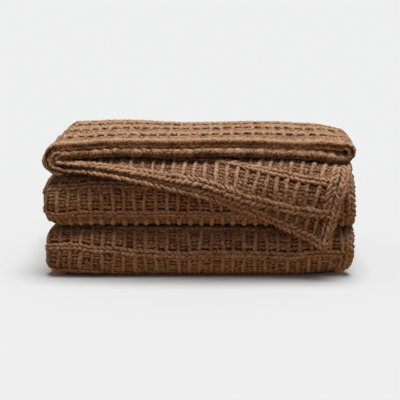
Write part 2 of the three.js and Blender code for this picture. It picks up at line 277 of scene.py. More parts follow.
# %% Legs of the pack, from the open end to the last end
LEGS = [
    {"name": "layer", "at": TOP_LAYER, "from": TOP_REACH, "to": TOP_KNIT, "cells": 16},
    {"name": "back", "at": TOP_LAYER, "from": TOP_KNIT, "to": TOP_KNIT + FOLD_ARC, "cells": 16},
    {"name": "layer", "at": 4, "from": TOP_KNIT + FOLD_ARC, "to": MIDDLE_START, "cells": 10},
    {"name": "front", "at": 4, "from": MIDDLE_START, "to": MIDDLE_START + FOLD_ARC, "cells": 18},
    {"name": "layer", "at": 3, "from": MIDDLE_START + FOLD_ARC, "to": BACK_START, "cells": 10},
    {"name": "back", "at": 3, "from": BACK_START, "to": BACK_START + FOLD_ARC, "cells": 16},
    {"name": "layer", "at": 2, "from": BACK_START + FOLD_ARC, "to": BOTTOM_START, "cells": 10},
    {"name": "front", "at": 2, "from": BOTTOM_START, "to": FIRST_START, "cells": 18},
    {"name": "layer", "at": 1, "from": FIRST_START, "to": LAST_END - BACK_END, "cells": 12},
    {"name": "last", "at": 1, "from": LAST_END - BACK_END, "to": LAST_END, "cells": 3},
]
print(len(LEGS), "legs along the pack")

# %% [markdown]
# Soft changes
#
# Cloth bends gently: nothing on it starts or ends at a line. Splines could draw such changes. Three small
# helpers are enough here: a smooth step, a mix of two values and a bell that fades to both sides. They take
# whole arrays, so that a row of points is bent in one go.

# %% Helpers for smooth steps
def smooth(t):
    """Step from 0 to 1 that starts and ends gently."""
    t = np.clip(t, 0, 1)
    return t * t * (3 - 2 * t)


def mix(a, b, t):
    """Value at share t of the way from a to b."""
    return a + (b - a) * t


def bell(a):
    """Bump of height 1 that fades to both sides of 0."""
    return np.exp(-a * a)


print("a quarter of the way, a smooth step has reached", round(float(smooth(0.25)), 3))

# %% [markdown]
# Plies of the pack
#
# Inside the stack the four plies are pressed to an even pitch. At the open end nothing presses them: they
# part a little, most of all at the mouth between the upper and lower plies, and the top ply rises to a full
# loop at the right. One value, the spread, goes from 0 in the stack to 1 at the open end, so one formula
# serves both and the plies pass from one to the other without a step.

# %% Height of a ply in the pack
OPEN_PLY_PITCH = 11 * MM
MOUTH = 4 * MM
RIGHT_LOOP = 6 * MM
RIGHT_LOOP_FROM = 140 * MM


def ply_height(rank, x, spread):
    """Height of a ply above the middle of the pack."""
    pitch = mix(PLY_PITCH, OPEN_PLY_PITCH, spread)
    mouth = MOUTH * spread * smooth((x + FOLD_X) / FOLD_X) if rank in UPPER_RANKS else 0
    to_turn = smooth((x - RIGHT_LOOP_FROM) / (TURN_X - RIGHT_LOOP_FROM))
    loop = RIGHT_LOOP * spread * to_turn if rank == TOP_RANK else 0
    return rank * pitch - PACK_REACH + mouth + loop


print("pressed plies lie at", [round(float(ply_height(rank, 0.0, 0)), 4) for rank in range(TOP_RANK + 1)])

# %% [markdown]
# Turns between the plies
#
# A turn is where the cloth goes round from one ply to another: a half ring, seen from the front. A bevelled
# curve would give the same ring, but a formula can be asked for any point of it. The turn at the right is
# fuller than a ring, because a thick knit bends in a blunt loop. At the open end the turns and side hems
# also shift sideways a little, as loose cloth does.

# %% A stretch of cloth across the pack
OPEN_SHIFT = {-FOLD_X: 7 * MM, TURN_X: -4.5 * MM, OUTER_HEM_X: -7 * MM, INNER_HEM_X: 3 * MM}
RIGHT_FULLNESS = 0.6


def stretch_points(stretch, f, spread):
    """Sideways place and height in the pack of points at shares f of one stretch."""
    def drawn_in(x):
        return x + OPEN_SHIFT[x] * spread

    low, high = stretch["ranks"]
    if low == high:
        x = mix(drawn_in(stretch["start"]), drawn_in(stretch["end"]), f)
        return x, ply_height(low, x, spread)
    turn_x = drawn_in(stretch["start"])
    first, last = (ply_height(rank, turn_x, spread) for rank in (low, high))
    radius = abs(last - first) / 2
    outward = math.copysign(1, turn_x)
    swing = np.sin(f * np.pi) ** (RIGHT_FULLNESS if outward > 0 else 1)
    return turn_x + outward * radius * swing, mix(first, last, (1 - np.cos(f * np.pi)) / 2)


def stretch_length(stretch):
    """Flat length of a ply or a turn, as it lies pressed."""
    low, high = stretch["ranks"]
    if low == high:
        return abs(stretch["end"] - stretch["start"])
    return math.pi * abs(high - low) * PLY_PITCH / 2


STRETCH_ENDS = np.cumsum([stretch_length(stretch) for stretch in STRETCHES])
print("flat width:", round(float(STRETCH_ENDS[-1]), 3), "m")

# %% [markdown]
# The pack from front to back
#
# A layer is a level run of the pack, and a fold is a half ring that joins two layers. A true half ring would
# look stiff, so the fold is blunter than one. The plies lie across the direction of the pack, and that
# direction turns over with each fold, so the helper gives it along with the place.

# %% Where the pack lies from front to back
FOLD_FULLNESS = 0.75


def pack_place(leg, t):
    """Middle of the pack at share t of a leg: y, z and the direction in which rank grows."""
    if leg["name"] == "layer":
        up = 1 if leg["at"] % 2 else -1
        return (t if up > 0 else 1 - t) * LAYER_LENGTH, layer_height(leg["at"]), 0, up
    if leg["name"] == "last":
        return LAYER_LENGTH + t * BACK_END, layer_height(1), 0, 1
    facing = 1 if leg["name"] == "back" else -1
    upper, lower = layer_height(leg["at"]), layer_height(leg["at"] - 1)
    radius = (upper - lower) / 2
    out, rise = max(0.0, math.sin(t * math.pi)) ** FOLD_FULLNESS, math.cos(t * math.pi)
    y = (LAYER_LENGTH if facing > 0 else 0) + radius * out * facing
    return y, (upper + lower) / 2 + radius * rise, out, rise * facing


for leg in LEGS:
    middle = [round(value, 3) for value in pack_place(leg, 0.5)[:2]]
    print(leg["name"], leg["at"], "has its middle at y, z", middle)

# %% [markdown]
# The open end
#
# At the front of the top layer the pack ends in four hems. The two upper plies lie nearly straight. The two
# lower ones bend over the front and hang as a corner that grows longer to the right. A drape could be
# simulated, but it would find its own way down, so the lengths are given at a few places instead, and are
# mixed between them.

# %% Lengths of the plies at the open end
# Length of each ply past the front of the top layer, from left to right, and how far the two lower plies
# bend over the front, where 1 is a quarter turn. Numbers name the ranks of the plies.
OPEN_END = [
    {"x": -232 * MM, 0: 34 * MM, 1: 34 * MM, 2: 34 * MM, 3: 34 * MM, "bend": 0.0},
    {"x": -165 * MM, 0: 40.5 * MM, 1: 44.5 * MM, 2: 33 * MM, 3: 31 * MM, "bend": 0.28},
    {"x": -119 * MM, 0: 45.5 * MM, 1: 48.5 * MM, 2: 32 * MM, 3: 28.5 * MM, "bend": 0.52},
    {"x": -50 * MM, 0: 52 * MM, 1: 54.5 * MM, 2: 31.5 * MM, 3: 27.5 * MM, "bend": 0.76},
    {"x": 16 * MM, 0: 62.5 * MM, 1: 61 * MM, 2: 31.5 * MM, 3: 27.5 * MM, "bend": 0.9},
    {"x": 88 * MM, 0: 83 * MM, 1: 81.5 * MM, 2: 32 * MM, 3: 28 * MM, "bend": 1.03},
    {"x": 160 * MM, 0: 112 * MM, 1: 97 * MM, 2: 33 * MM, 3: 29 * MM, "bend": 1.05},
    {"x": 225 * MM, 0: 140 * MM, 1: 106 * MM, 2: 31 * MM, 3: 31 * MM, "bend": 1.05},
]


def open_end(column, x):
    """Value of one column of the table at x."""
    return np.interp(x, [row["x"] for row in OPEN_END], [row[column] for row in OPEN_END])


middle_lengths = [round(float(open_end(rank, 0.0)), 4) for rank in range(TOP_RANK + 1)]
print("in the middle the plies reach", middle_lengths)

# %% [markdown]
# Reach of the plies
#
# A lower ply first runs out straight, then bends, so it needs more cloth than the table gives. The lowest
# ply lies close under the next one, but to the right of that one's hem it is bare and rises beside it. Both
# have rounded corners, as knit has. These amounts could go into the table, but then no number there could be
# changed alone, so they are added here.

# %% How far each ply reaches past the top layer
FLAP_LEAD, LEAD_TAKES = 22 * MM, 0.57
FLAP_CLOSE, CLOSE_RAMP = 5 * MM, 2.5
MARGIN_RISE, MARGIN_FROM, MARGIN_RUN = 15 * MM, 192 * MM, 22 * MM
FLAP_CORNER = 12 * MM
SIDE_HEM_X = {rank: x + OPEN_SHIFT[x] for rank, x in enumerate((OUTER_HEM_X, INNER_HEM_X))}


def flap_lead(x):
    """Length over which a lower ply runs straight before it bends."""
    return FLAP_LEAD * np.minimum(1, open_end("bend", x)) ** 2


def margin_rise(rank, x):
    """Rise of the lowest ply: it lies close under the next one, and rises at its bare right margin."""
    at_margin = smooth((x - MARGIN_FROM) / MARGIN_RUN)
    close = FLAP_CLOSE * np.minimum(1, CLOSE_RAMP * open_end("bend", x))
    return mix(close, MARGIN_RISE, at_margin) if rank == 0 else 0


def ply_reach(rank, x):
    """Length of a ply past the front of the top layer, with rounded corners on the lower plies."""
    reach = open_end(rank, x)
    if rank in UPPER_RANKS:
        return reach
    beside_corner = np.clip(FLAP_CORNER - (SIDE_HEM_X[rank] - x), 0, FLAP_CORNER)
    cut = FLAP_CORNER - np.sqrt(FLAP_CORNER**2 - beside_corner**2)
    return reach + LEAD_TAKES * flap_lead(x) + np.pi / 2 * margin_rise(rank, x) - cut


def end_reach(stretch, x, f):
    """Length of a ply past the front, or the mix of two of them on a turn."""
    low, high = stretch["ranks"]
    return mix(ply_reach(low, x), ply_reach(high, x), f) if low != high else ply_reach(low, x)


def end_knit(stretch, x, f):
    """Knit length of a ply past the front; the top ply is knitted closer."""
    closeness = TOP_HEM_CLOSENESS if stretch["ranks"] == (TOP_RANK, TOP_RANK) else 1
    return end_reach(stretch, x, f) * closeness


print("in the middle the lowest ply is", round(float(ply_reach(0, 0.0)), 4), "m long past the front")

# %% [markdown]
# The turned-down corner
#
# A lower ply bends round the front of the stack on an arc and hangs from there. Where the bend is less than
# a quarter turn it still leans forward, and where it is more it leans back towards the stack. The corner
# also swings to the left as it hangs, because it is turned down askew. A hook modifier could pull it there,
# but formulas keep the length of the cloth. The upper plies only droop a little at their hems.

# %% Upper plies lie, lower plies hang
HEM_ROLL = 14 * MM
HEM_DROOP, DROOP_RUN = {2: 3.5 * MM, 3: 2.5 * MM}, 150 * MM
LEAST_BEND = 0.01
LEAD_TIGHTENS = 0.75
BEND_FOOT = (layer_height(4) + layer_height(3)) / 2
CORNER_SKEW, SKEW_FROM = {0: 0.27, 1: 0.263}, {0: 46 * MM, 1: 0.0}


def lying_points(stretch, x, o, reach, full):
    """Points of an upper ply or a turn: straight, with the hem of an upper ply drooping at the right."""
    low, high = stretch["ranks"]
    rolled = smooth((reach - full + HEM_ROLL) / HEM_ROLL) * smooth(x / DROOP_RUN)
    return x, -reach, layer_height(TOP_LAYER) + o - (HEM_DROOP[low] * rolled if low == high else 0)


def hanging_points(rank, x, o, reach):
    """Points of a lower ply, which runs out, bends over the front and hangs."""
    base = layer_height(TOP_LAYER)
    o = o + margin_rise(rank, x) * smooth(reach / MARGIN_RUN)
    bend = np.maximum(LEAST_BEND, open_end("bend", x))
    lead = flap_lead(x)
    radius = base + o - BEND_FOOT - LEAD_TIGHTENS * lead
    run = np.maximum(reach - lead, 0)
    turned = np.minimum(run / radius, np.pi / 2)
    angle = bend * turned
    hanging = run - turned * radius
    arc = radius / bend
    to_right = smooth((x + FOLD_X) / (2 * FOLD_X))
    skew = CORNER_SKEW[rank] * to_right * np.maximum(reach - SKEW_FROM[rank], 0)
    drop = arc * (1 - np.cos(angle)) + hanging * np.sin(angle)
    out = np.minimum(reach, lead) + arc * np.sin(angle) + hanging * np.cos(angle)
    return x - skew, -out, base + o - drop


def end_points(stretch, x, o, reach, full):
    """Points of the open end at a reach past the front; full is the reach of the hem."""
    low, high = stretch["ranks"]
    if low != high or low in UPPER_RANKS:
        return lying_points(stretch, x, o, reach, full)
    return hanging_points(low, x, o, reach)


lowest_hem = hanging_points(0, 0.0, ply_height(0, 0.0, 1), ply_reach(0, 0.0))
print("in the middle the lowest hem hangs at", [round(float(value), 3) for value in lowest_hem])

# %% [markdown]
# Soft ends of the stack
#
# The ends of a soft stack are not cut square. Its lower corners are rounded, its lowest fold curls back
# there, and at the left the cloth is pinched where bundles meet. These could be sculpted by hand on the
# finished mesh. As moves of the folds they come before the knitting, so the stitches follow them.

# %% Rounded corners and pinched creases
TUCK, TUCK_FROM, TUCK_RUN = {-1: 21 * MM, 1: 25 * MM}, 150 * MM, 70 * MM
CURL, CURL_HEIGHT, CURL_DEPTH = {-1: 5 * MM, 1: 18 * MM}, 75 * MM, 60 * MM
CREASES = {147 * MM: 16 * MM, 76 * MM: 6 * MM}
CREASE_SPREAD, CREASE_FROM, CREASE_RUN = 8.5 * MM, 165 * MM, 45 * MM


def at_side(x, sizes):
    """Size for the left end or the right end, whichever a point is nearer."""
    return np.where(x < 0, sizes[-1], sizes[1])


def soft_ends(x, y, z):
    """New sideways place of points near the ends, and how far they curl back."""
    near_end = smooth((np.abs(x) - TUCK_FROM) / TUCK_RUN)
    rounding = at_side(x, TUCK)
    below = np.clip(rounding - z, 0, rounding)
    tuck = (rounding - np.sqrt(rounding**2 - below**2)) * near_end
    pinch = sum(deep * bell((z - level) / CREASE_SPREAD) for level, deep in CREASES.items())
    crease = pinch * smooth((-x - CREASE_FROM) / CREASE_RUN)
    at_corner = near_end * (1 - smooth(z / CURL_HEIGHT))
    curl = at_side(x, CURL) * at_corner * (1 - smooth(y / CURL_DEPTH))
    return x - np.sign(x) * tuck + crease, curl


left_foot = [round(float(value), 3) for value in soft_ends(-FOLD_X, 0.0, 0.0)]
print("the left lower corner moves to x", left_foot[0], "and back by", left_foot[1])

# %% [markdown]
# The settled stack
#
# A pile of knit is higher in its middle, lower at its back and never quite even. The crown, the droop at the
# right and the slow waves all grow with height, because the lowest layer lies on flat ground. They are small
# smooth moves in place of a simulation, which would blur the folds that are known.

# %% Settle the stack softly
FULL_HEIGHT = 200 * MM
CROWN, CROWN_Y, CROWN_SPREAD = 0.105, 82 * MM, 90 * MM
CROWN_FADE, CROWN_FADE_FROM = 0.36, 110 * MM
BACK_PRESS = 0.03
LEFT_PUFF, PUFF_X, PUFF_SPREAD = 5 * MM, -120 * MM, 70 * MM
RIGHT_DROOP, RIGHT_DROOP_FROM = 7 * MM, 160 * MM
LEFT_TAPER, LEFT_TOP_TAPER, TOP_TAPER = 0.045, 0.05, 0.013
TAPER_FROM, TAPER_RUN = -36 * MM, 120 * MM
WOBBLE = 1.6 * MM
WAVE_X, WAVE_Z = 47 * MM, 31 * MM
SLOW_WAVE_X, SLOW_WAVE_Y = 83 * MM, 61 * MM
SWAY_Y, SWAY_Z = 52 * MM, 27 * MM


def settle(x, y, z):
    """Final place of points of the folds, with the stack's middle over the origin."""
    high = z / FULL_HEIGHT
    x, curl = soft_ends(x, y, z)
    fade = 1 - CROWN_FADE * smooth((x - CROWN_FADE_FROM) / (TURN_X - CROWN_FADE_FROM))
    swell = CROWN * fade * high * bell((y - CROWN_Y) / CROWN_SPREAD)
    press = BACK_PRESS * smooth((y - CROWN_Y) / (LAYER_LENGTH - CROWN_Y))
    puff = LEFT_PUFF * high**2 * bell((x - PUFF_X) / PUFF_SPREAD)
    droop = RIGHT_DROOP * high**2 * smooth((x - RIGHT_DROOP_FROM) / (TURN_X - RIGHT_DROOP_FROM)) ** 2
    taper = np.where(x < 0, LEFT_TAPER + LEFT_TOP_TAPER * high**4, 0) + TOP_TAPER * high**2
    wave = np.sin(x / WAVE_X + z / WAVE_Z) + np.sin(x / SLOW_WAVE_X - y / SLOW_WAVE_Y)
    sway = np.sin(y / SWAY_Y + z / SWAY_Z)
    return np.stack([
        x * (1 - taper * smooth((y - TAPER_FROM) / TAPER_RUN)) + WOBBLE * sway * high,
        y + curl + WOBBLE * wave * high - LAYER_LENGTH / 2,
        z * (1 + swell - press) + puff - droop + WOBBLE / 2 * wave * high,
    ], axis=-1)


print("the middle of the top settles to", settle(0.0, CROWN_Y, FULL_HEIGHT).round(3).tolist())

# %% [markdown]
# The folded sheet
#
# With the folds written down, the cloth becomes a grid of points. Its UV map is the flat cloth itself, in
# metres: u runs across the pack from one side hem to the other, v runs from the hem at the top of the stack.
# One spare ring of cells past each hem lets edge stitches overhang without falling off the map. A row is
# made in one go across all stretches, so neighbouring rows always match point for point.

# %% Columns across the cloth
SPARE = 12 * MM
CORNER_COLUMNS = np.array([2, 4.5, 8]) * MM


def column_shares(number, stretch):
    """Shares along a stretch, with finer cells at the cloth's two side hems and a spare one past them."""
    shares = np.arange(stretch["cells"]) / stretch["cells"]
    spare = SPARE / stretch_length(stretch)
    fine = CORNER_COLUMNS / stretch_length(stretch)
    if number == 0:
        shares = np.concatenate([[-spare, 0], fine, shares[1:]])
    if number == len(STRETCHES) - 1:
        shares = np.concatenate([shares, 1 - fine[::-1], [1, 1 + spare]])
    return shares


def row_of(place):
    """One row of points across the whole cloth; place(stretch, f) gives the points and their v."""
    points, flat = [], []
    u = 0
    for number, stretch in enumerate(STRETCHES):
        f = column_shares(number, stretch)
        spots, v = place(stretch, f)
        points.append(spots)
        flat.append(np.stack([u + f * stretch_length(stretch), np.broadcast_to(v, f.shape)], axis=-1))
        u += stretch_length(stretch)
    return np.concatenate(points), np.concatenate(flat)


print("columns of points:", sum(len(column_shares(*item)) for item in enumerate(STRETCHES)))

# %% Rows of the open end and of the legs
SLIDE, SLIDE_FROM, SLIDE_RUN = 12 * MM, -70 * MM, 140 * MM


def slide(leg, t, x):
    """Slip of the knit along the bottom fold, where its cross rows rise towards the left end."""
    left = smooth((SLIDE_FROM - x) / SLIDE_RUN)
    if leg["name"] == "front" and leg["at"] == 2:
        return SLIDE * left
    if leg["name"] == "layer" and leg["at"] <= 2:
        return SLIDE * left * (t if leg["at"] == 2 else 1 - t)
    return 0 * left


def end_row(share):
    """Row of the open end at a share of its reach, from 0 at the top layer to 1 at the hems."""
    def place(stretch, f):
        x, o = stretch_points(stretch, f, 1)
        full = end_reach(stretch, x, f)
        knit_length = end_knit(stretch, x, f) * (1 - share)
        return settle(*end_points(stretch, x, o, share * full, full)), knit_length
    return row_of(place)


def leg_row(leg, t):
    """Row at share t of a leg; the first leg starts where the open end of each ply stops."""
    opening = 1 - smooth(t) if leg is LEGS[0] else 0

    def place(stretch, f):
        x, o = stretch_points(stretch, f, opening)
        y, z, toward_y, toward_z = pack_place(leg, t)
        start = leg["from"]
        if leg is LEGS[0]:
            start = end_knit(stretch, stretch_points(stretch, f, 1)[0], f)
        knit_length = mix(start, leg["to"], t) + slide(leg, t, x)
        return settle(x, y + o * toward_y, z + o * toward_z), knit_length
    return row_of(place)


print("a row has", len(leg_row(LEGS[0], 0.5)[0]), "points")

# %% Grid of the folded cloth
END_CELLS = 12
rows = [end_row(1 + SPARE / TOP_REACH)]
rows += [end_row(1 - step / END_CELLS) for step in range(END_CELLS)]
rows += [leg_row(leg, step / leg["cells"]) for leg in LEGS for step in range(leg["cells"])]
rows += [leg_row(LEGS[-1], 1), leg_row(LEGS[-1], 1 + SPARE / BACK_END)]
CLOTH_POINTS = np.array([points for points, flat in rows])
CLOTH_FLAT = np.array([flat for points, flat in rows])
CLOTH_WIDTH = CLOTH_FLAT[0, -2, 0]
print("cloth grid:", CLOTH_POINTS.shape[:2], "points, flat width", round(float(CLOTH_WIDTH), 3), "m")

# %% [markdown]
# The map of the cloth
#
# The grid becomes a mesh of quads twice: once with its spare ring, as a map on which the stitches find their
# places, and later without it, as the ground of the knit. Blender could work out the normals by itself, but
# stored ones can be mixed smoothly across a quad, so stitches don't jump at the edges of the quads.

# %% Sheets from the grid
def grid_sheet(name, points, flat):
    """A one-layer sheet of quads with its flat UV map and its smooth normals as an attribute."""
    across, along = np.gradient(points, axis=1), np.gradient(points, axis=0)
    outward = np.cross(across, along)
    outward /= np.linalg.norm(outward, axis=-1, keepdims=True)
    count_v, count_u = points.shape[:2]
    number = np.arange(count_v * count_u).reshape(count_v, count_u)
    quads = np.stack([number[:-1, :-1], number[:-1, 1:], number[1:, 1:], number[1:, :-1]], axis=-1)
    mesh = bpy.data.meshes.new(name)
    mesh.from_pydata(points.reshape(-1, 3).tolist(), [], quads.reshape(-1, 4).tolist())
    uv_map = mesh.uv_layers.new(name="flat_cloth")
    corner_vertex = np.array([loop.vertex_index for loop in mesh.loops])
    uv_map.data.foreach_set("uv", flat.reshape(-1, 2)[corner_vertex].ravel())
    attribute = mesh.attributes.new("outward", "FLOAT_VECTOR", "POINT")
    attribute.data.foreach_set("vector", outward.ravel())
    sheet = bpy.data.objects.new(name, mesh)
    bpy.context.scene.collection.objects.link(sheet)
    return sheet


cloth_map = grid_sheet("cloth_map", CLOTH_POINTS, CLOTH_FLAT)
print("cloth map has", len(cloth_map.data.polygons), "cells")

# %% [markdown]
# Yarn
#
# Chenille is a soft pile held in a twisted core. It has no gloss, but a pale bloom where it is seen along
# its surface, and it is dark between the stitches. A picture of yarn could be laid on, but it would have
# seams. Here one ramp of browns reads three things: how deep a point lies in the knit, the tone of the
# single stitch, and a fine noise that stands for the pile. How deep a point lies paints the shade between
# the stitches and a pale bloom on the crests. The same noise is the bump, and sheen adds to the bloom.

# %% Browns of the yarn, with painted shade and a painted bloom
MIDDLE_BROWN = 0.6
# The dark end is mostly painted shade deep in the knit, the pale end mostly a painted bloom on the crests;
# tone and pile move along it too.
BROWNS_WITH_PAINTED_SHADE = {
    0.0: (0.050, 0.0145, 0.0040, 1),
    MIDDLE_BROWN: (0.39, 0.188, 0.090, 1),
    1.0: (0.515, 0.310, 0.181, 1),
}
# The first share paints shade and bloom from how deep a point lies in the knit.
DEPTH_SHADE_SHARE = 0.9
TONE_SHARE = 0.3
PILE_SHARE = 2.8
SHADE_START = -1.75


def weighted(tree, source, share, total):
    """Add source times share to a running total."""
    step = tree.nodes.new("ShaderNodeMath")
    step.operation = "MULTIPLY_ADD"
    tree.links.new(source, step.inputs[0])
    step.inputs[1].default_value = share
    if isinstance(total, float):
        step.inputs[2].default_value = total
    else:
        tree.links.new(total, step.inputs[2])
    return step.outputs[0]


def yarn_brown_with_painted_shade(tree, pile):
    """Brown from how deep a point lies in the knit, painted as shade low down and as a pale bloom on the
    crests, with the tone of the single stitch and the pile.
    """
    shade = SHADE_START
    for name, share in (("depth", DEPTH_SHADE_SHARE), ("tone", TONE_SHARE)):
        measure = tree.nodes.new("ShaderNodeAttribute")
        measure.attribute_name = name
        shade = weighted(tree, measure.outputs["Fac"], share, shade)
    shade = weighted(tree, pile, PILE_SHARE, shade)
    brown = tree.nodes.new("ShaderNodeValToRGB")
    steps = brown.color_ramp.elements
    steps.new(MIDDLE_BROWN)
    for step, (place_on_ramp, colour) in zip(steps, BROWNS_WITH_PAINTED_SHADE.items()):
        step.position = place_on_ramp
        step.color = colour
    tree.links.new(shade, brown.inputs["Fac"])
    return brown.outputs["Color"]


print("the yarn has", len(BROWNS_WITH_PAINTED_SHADE), "browns")

# %% Material of the chenille yarn
PILE_SIZE, PILE_DETAIL, PILE_ROUGHNESS = 380, 4.0, 0.65
PILE_BUMP = 1.0
PILE_BUMP_DEPTH = 2.5 * MM
YARN_FINISH = {
    "Roughness": 0.95,
    "Specular IOR Level": 0.1,
    "Sheen Weight": 0.2,
    "Sheen Roughness": 0.5,
    "Sheen Tint": (1.0, 0.92, 0.82, 1),
}


def shader_node(tree, kind, **inputs):
    """A shader node with some of its inputs set."""
    made = tree.nodes.new(kind)
    for name, value in inputs.items():
        made.inputs[name].default_value = value
    return made


def chenille_yarn():
    """Brown pile yarn: painted shade deep in the knit, a painted pale bloom on the crests, uneven by stitch
    and by tuft.
    """
    yarn = bpy.data.materials.new("chenille_yarn")
    yarn.use_nodes = True
    tree = yarn.node_tree
    link = tree.links.new
    shader = tree.nodes["Principled BSDF"]
    place = tree.nodes.new("ShaderNodeTexCoord")
    pile = shader_node(
        tree, "ShaderNodeTexNoise", Scale=PILE_SIZE, Detail=PILE_DETAIL, Roughness=PILE_ROUGHNESS,
    )
    link(place.outputs["Object"], pile.inputs["Vector"])
    link(yarn_brown_with_painted_shade(tree, pile.outputs["Fac"]), shader.inputs["Base Color"])
    bump = shader_node(tree, "ShaderNodeBump", Strength=PILE_BUMP, Distance=PILE_BUMP_DEPTH)
    link(pile.outputs["Fac"], bump.inputs["Height"])
    link(bump.outputs["Normal"], shader.inputs["Normal"])
    for name, value in YARN_FINISH.items():
        shader.inputs[name].default_value = value
    return yarn


YARN = chenille_yarn()
print("yarn material:", YARN.name)

# %% [markdown]
# The ground cloth
#
# Behind the raised stitches the knit closes to a thin ground. It could be left out, but light would then
# pass between the stitches. The same grid, without its spare ring, gets a little thickness from the Solidify
# modifier and stands for the whole folded cloth. It stores neither height nor tone, so it takes the darkest
# brown of the ramp, the painted shade of the gaps in a knit.

# %% Ground of the knit
GROUND_THICKNESS = 2.2 * MM


def plain_mesh(piece):
    """Turn a piece with modifiers into a plain mesh."""
    evaluated = piece.evaluated_get(bpy.context.evaluated_depsgraph_get())
    finished = bpy.data.meshes.new_from_object(evaluated)
    piece.modifiers.clear()
    old = piece.data
    piece.data = finished
    bpy.data.meshes.remove(old)
    return piece


def ground_cloth():
    """The folded cloth under the stitches, as thick as one thin yarn."""
    cloth = grid_sheet("throw_cloth", CLOTH_POINTS[1:-1, 1:-1], CLOTH_FLAT[1:-1, 1:-1])
    cloth.data.materials.append(YARN)
    thicken = cloth.modifiers.new("thickness", "SOLIDIFY")
    thicken.thickness = GROUND_THICKNESS
    thicken.offset = 0
    return plain_mesh(cloth)


throw_cloth = ground_cloth()
throw_cloth.data.shade_smooth()
print("ground cloth has", len(throw_cloth.data.polygons), "faces")

# %% [markdown]
# Shapes of the stitches
#
# Each loop of yarn that shows is a short thick curl, whose ends go down into the cloth. A swept curve would
# do for a few of them. Here there are thousands, so each kind is one short tube with a few rings, thick in
# the middle and dipping at its ends, and light enough to repeat. Beads along a tube stand for the tufts.

# %% Tube for one stitch
stitch_shapes = []


def yarn_tube(name, length, radius, arch, taper, rings, sides, beads=0, bead_depth=0.0, flat=1.0):
    """A closed tube along x: arched in z, thinner at its ends, with optional beads along it."""
    along = np.linspace(-1, 1, rings)
    thick = radius * (1 - taper * along**2) * (1 + bead_depth * np.cos(beads * np.pi * along))
    turn = np.arange(sides) * 2 * np.pi / sides
    x = np.repeat(along * length / 2, sides)
    y = np.outer(thick, np.cos(turn)).ravel()
    z = flat * np.outer(thick, np.sin(turn)).ravel() + np.repeat(-arch * along**2, sides)
    number = np.arange(rings * sides).reshape(rings, sides)
    ahead = np.roll(number, -1, axis=1)
    faces = np.stack([number[:-1], number[1:], ahead[1:], ahead[:-1]], axis=-1).reshape(-1, 4).tolist()
    caps = [number[0].tolist(), number[-1][::-1].tolist()]
    mesh = bpy.data.meshes.new(name)
    mesh.from_pydata(np.stack([x, y, z], axis=-1).tolist(), [], faces + caps)
    stitch = bpy.data.objects.new(name, mesh)
    bpy.context.scene.collection.objects.link(stitch)
    stitch_shapes.append(stitch)
    print(name, "has", len(mesh.polygons), "faces")
    return stitch


print("stitch shapes so far:", len(stitch_shapes))

# %% [markdown]
# Bars and ribs
#
# Purl bars lie across between the ribs, and ribs are long cords that run over them. One bar for all places
# would be simpler, but they differ: beaded on the folds, soft and flat on the hanging corner, full on the
# top, and plain where they hardly show. A rib tip is the end of a rib that swells before a cross row on top,
# and a lump is a rib that bulges where the knit bends sharply.

# %% Tubes for bars and ribs
BAR = yarn_tube("purl_bar", length=16 * MM, radius=2.6 * MM, arch=1.1 * MM, taper=0.2,
                rings=8, sides=5, beads=3, bead_depth=0.22, flat=0.85)
SOFT_BAR = yarn_tube("soft_bar", length=17 * MM, radius=3.2 * MM, arch=0.5 * MM, taper=0.1,
                     rings=8, sides=5, beads=3, bead_depth=0.12, flat=0.55)
PLAIN_BAR = yarn_tube("plain_bar", length=16 * MM, radius=2.6 * MM, arch=1.3 * MM, taper=0.25,
                      rings=4, sides=4)
FULL_BAR = yarn_tube("full_bar", length=19 * MM, radius=3.1 * MM, arch=0.3 * MM, taper=0.1,
                     rings=5, sides=5)
RIB = yarn_tube("rib_cord", length=38 * MM, radius=3.5 * MM, arch=1.2 * MM, taper=0.15,
                rings=15, sides=5, beads=6, bead_depth=0.22, flat=0.8)
STRONG_RIB = yarn_tube("strong_rib", length=38 * MM, radius=3.7 * MM, arch=1.0 * MM, taper=0.15,
                       rings=15, sides=5, beads=6, bead_depth=0.25, flat=0.75)
RIB_TIP = yarn_tube("rib_tip", length=13 * MM, radius=3.3 * MM, arch=1.6 * MM, taper=0.45,
                    rings=6, sides=6)
FOLD_LUMP = yarn_tube("fold_lump", length=22 * MM, radius=4.2 * MM, arch=2.8 * MM, taper=0.4,
                      rings=7, sides=7)

# %% [markdown]
# Leaves and rolls
#
# Cross rows and hems are chains of loops, and each loop shows as a leaf: thick in the middle and thin at
# both ends. A braid could be modelled strand over strand, but two rows of leaves that lean opposite ways
# look the same from outside. On the two upper hems the edge rolls over, so their leaves are thick rolls.

# %% Tubes for leaves and rolls
LEAF = yarn_tube("braid_leaf", length=13.5 * MM, radius=2.8 * MM, arch=1.9 * MM, taper=0.45,
                 rings=6, sides=5)
EDGE_LEAF = yarn_tube("edge_leaf", length=22 * MM, radius=3.6 * MM, arch=1.6 * MM, taper=0.4,
                      rings=8, sides=6)
FLAP_LEAF = yarn_tube("flap_leaf", length=15.5 * MM, radius=3.2 * MM, arch=1.2 * MM, taper=0.4,
                      rings=6, sides=6)
TOP_ROLL = yarn_tube("top_roll", length=20 * MM, radius=5.3 * MM, arch=1.6 * MM, taper=0.4,
                     rings=7, sides=8)
DEEP_ROLL = yarn_tube("deep_roll", length=24 * MM, radius=6.6 * MM, arch=1.4 * MM, taper=0.38,
                      rings=7, sides=8)

# %% [markdown]
# The knitting tree
#
# One Geometry Nodes tree knits everything. It makes a lattice of spots on the flat cloth, puts a stitch on
# each, turns it a little at random, and then carries every point to its place on the folded cloth: it looks
# up the flat place in the UV map, and moves off the cloth by the stitch's own height. Knitting flat and
# folding afterwards keeps rows and ribs true round every fold. All sizes are named inputs of the tree.

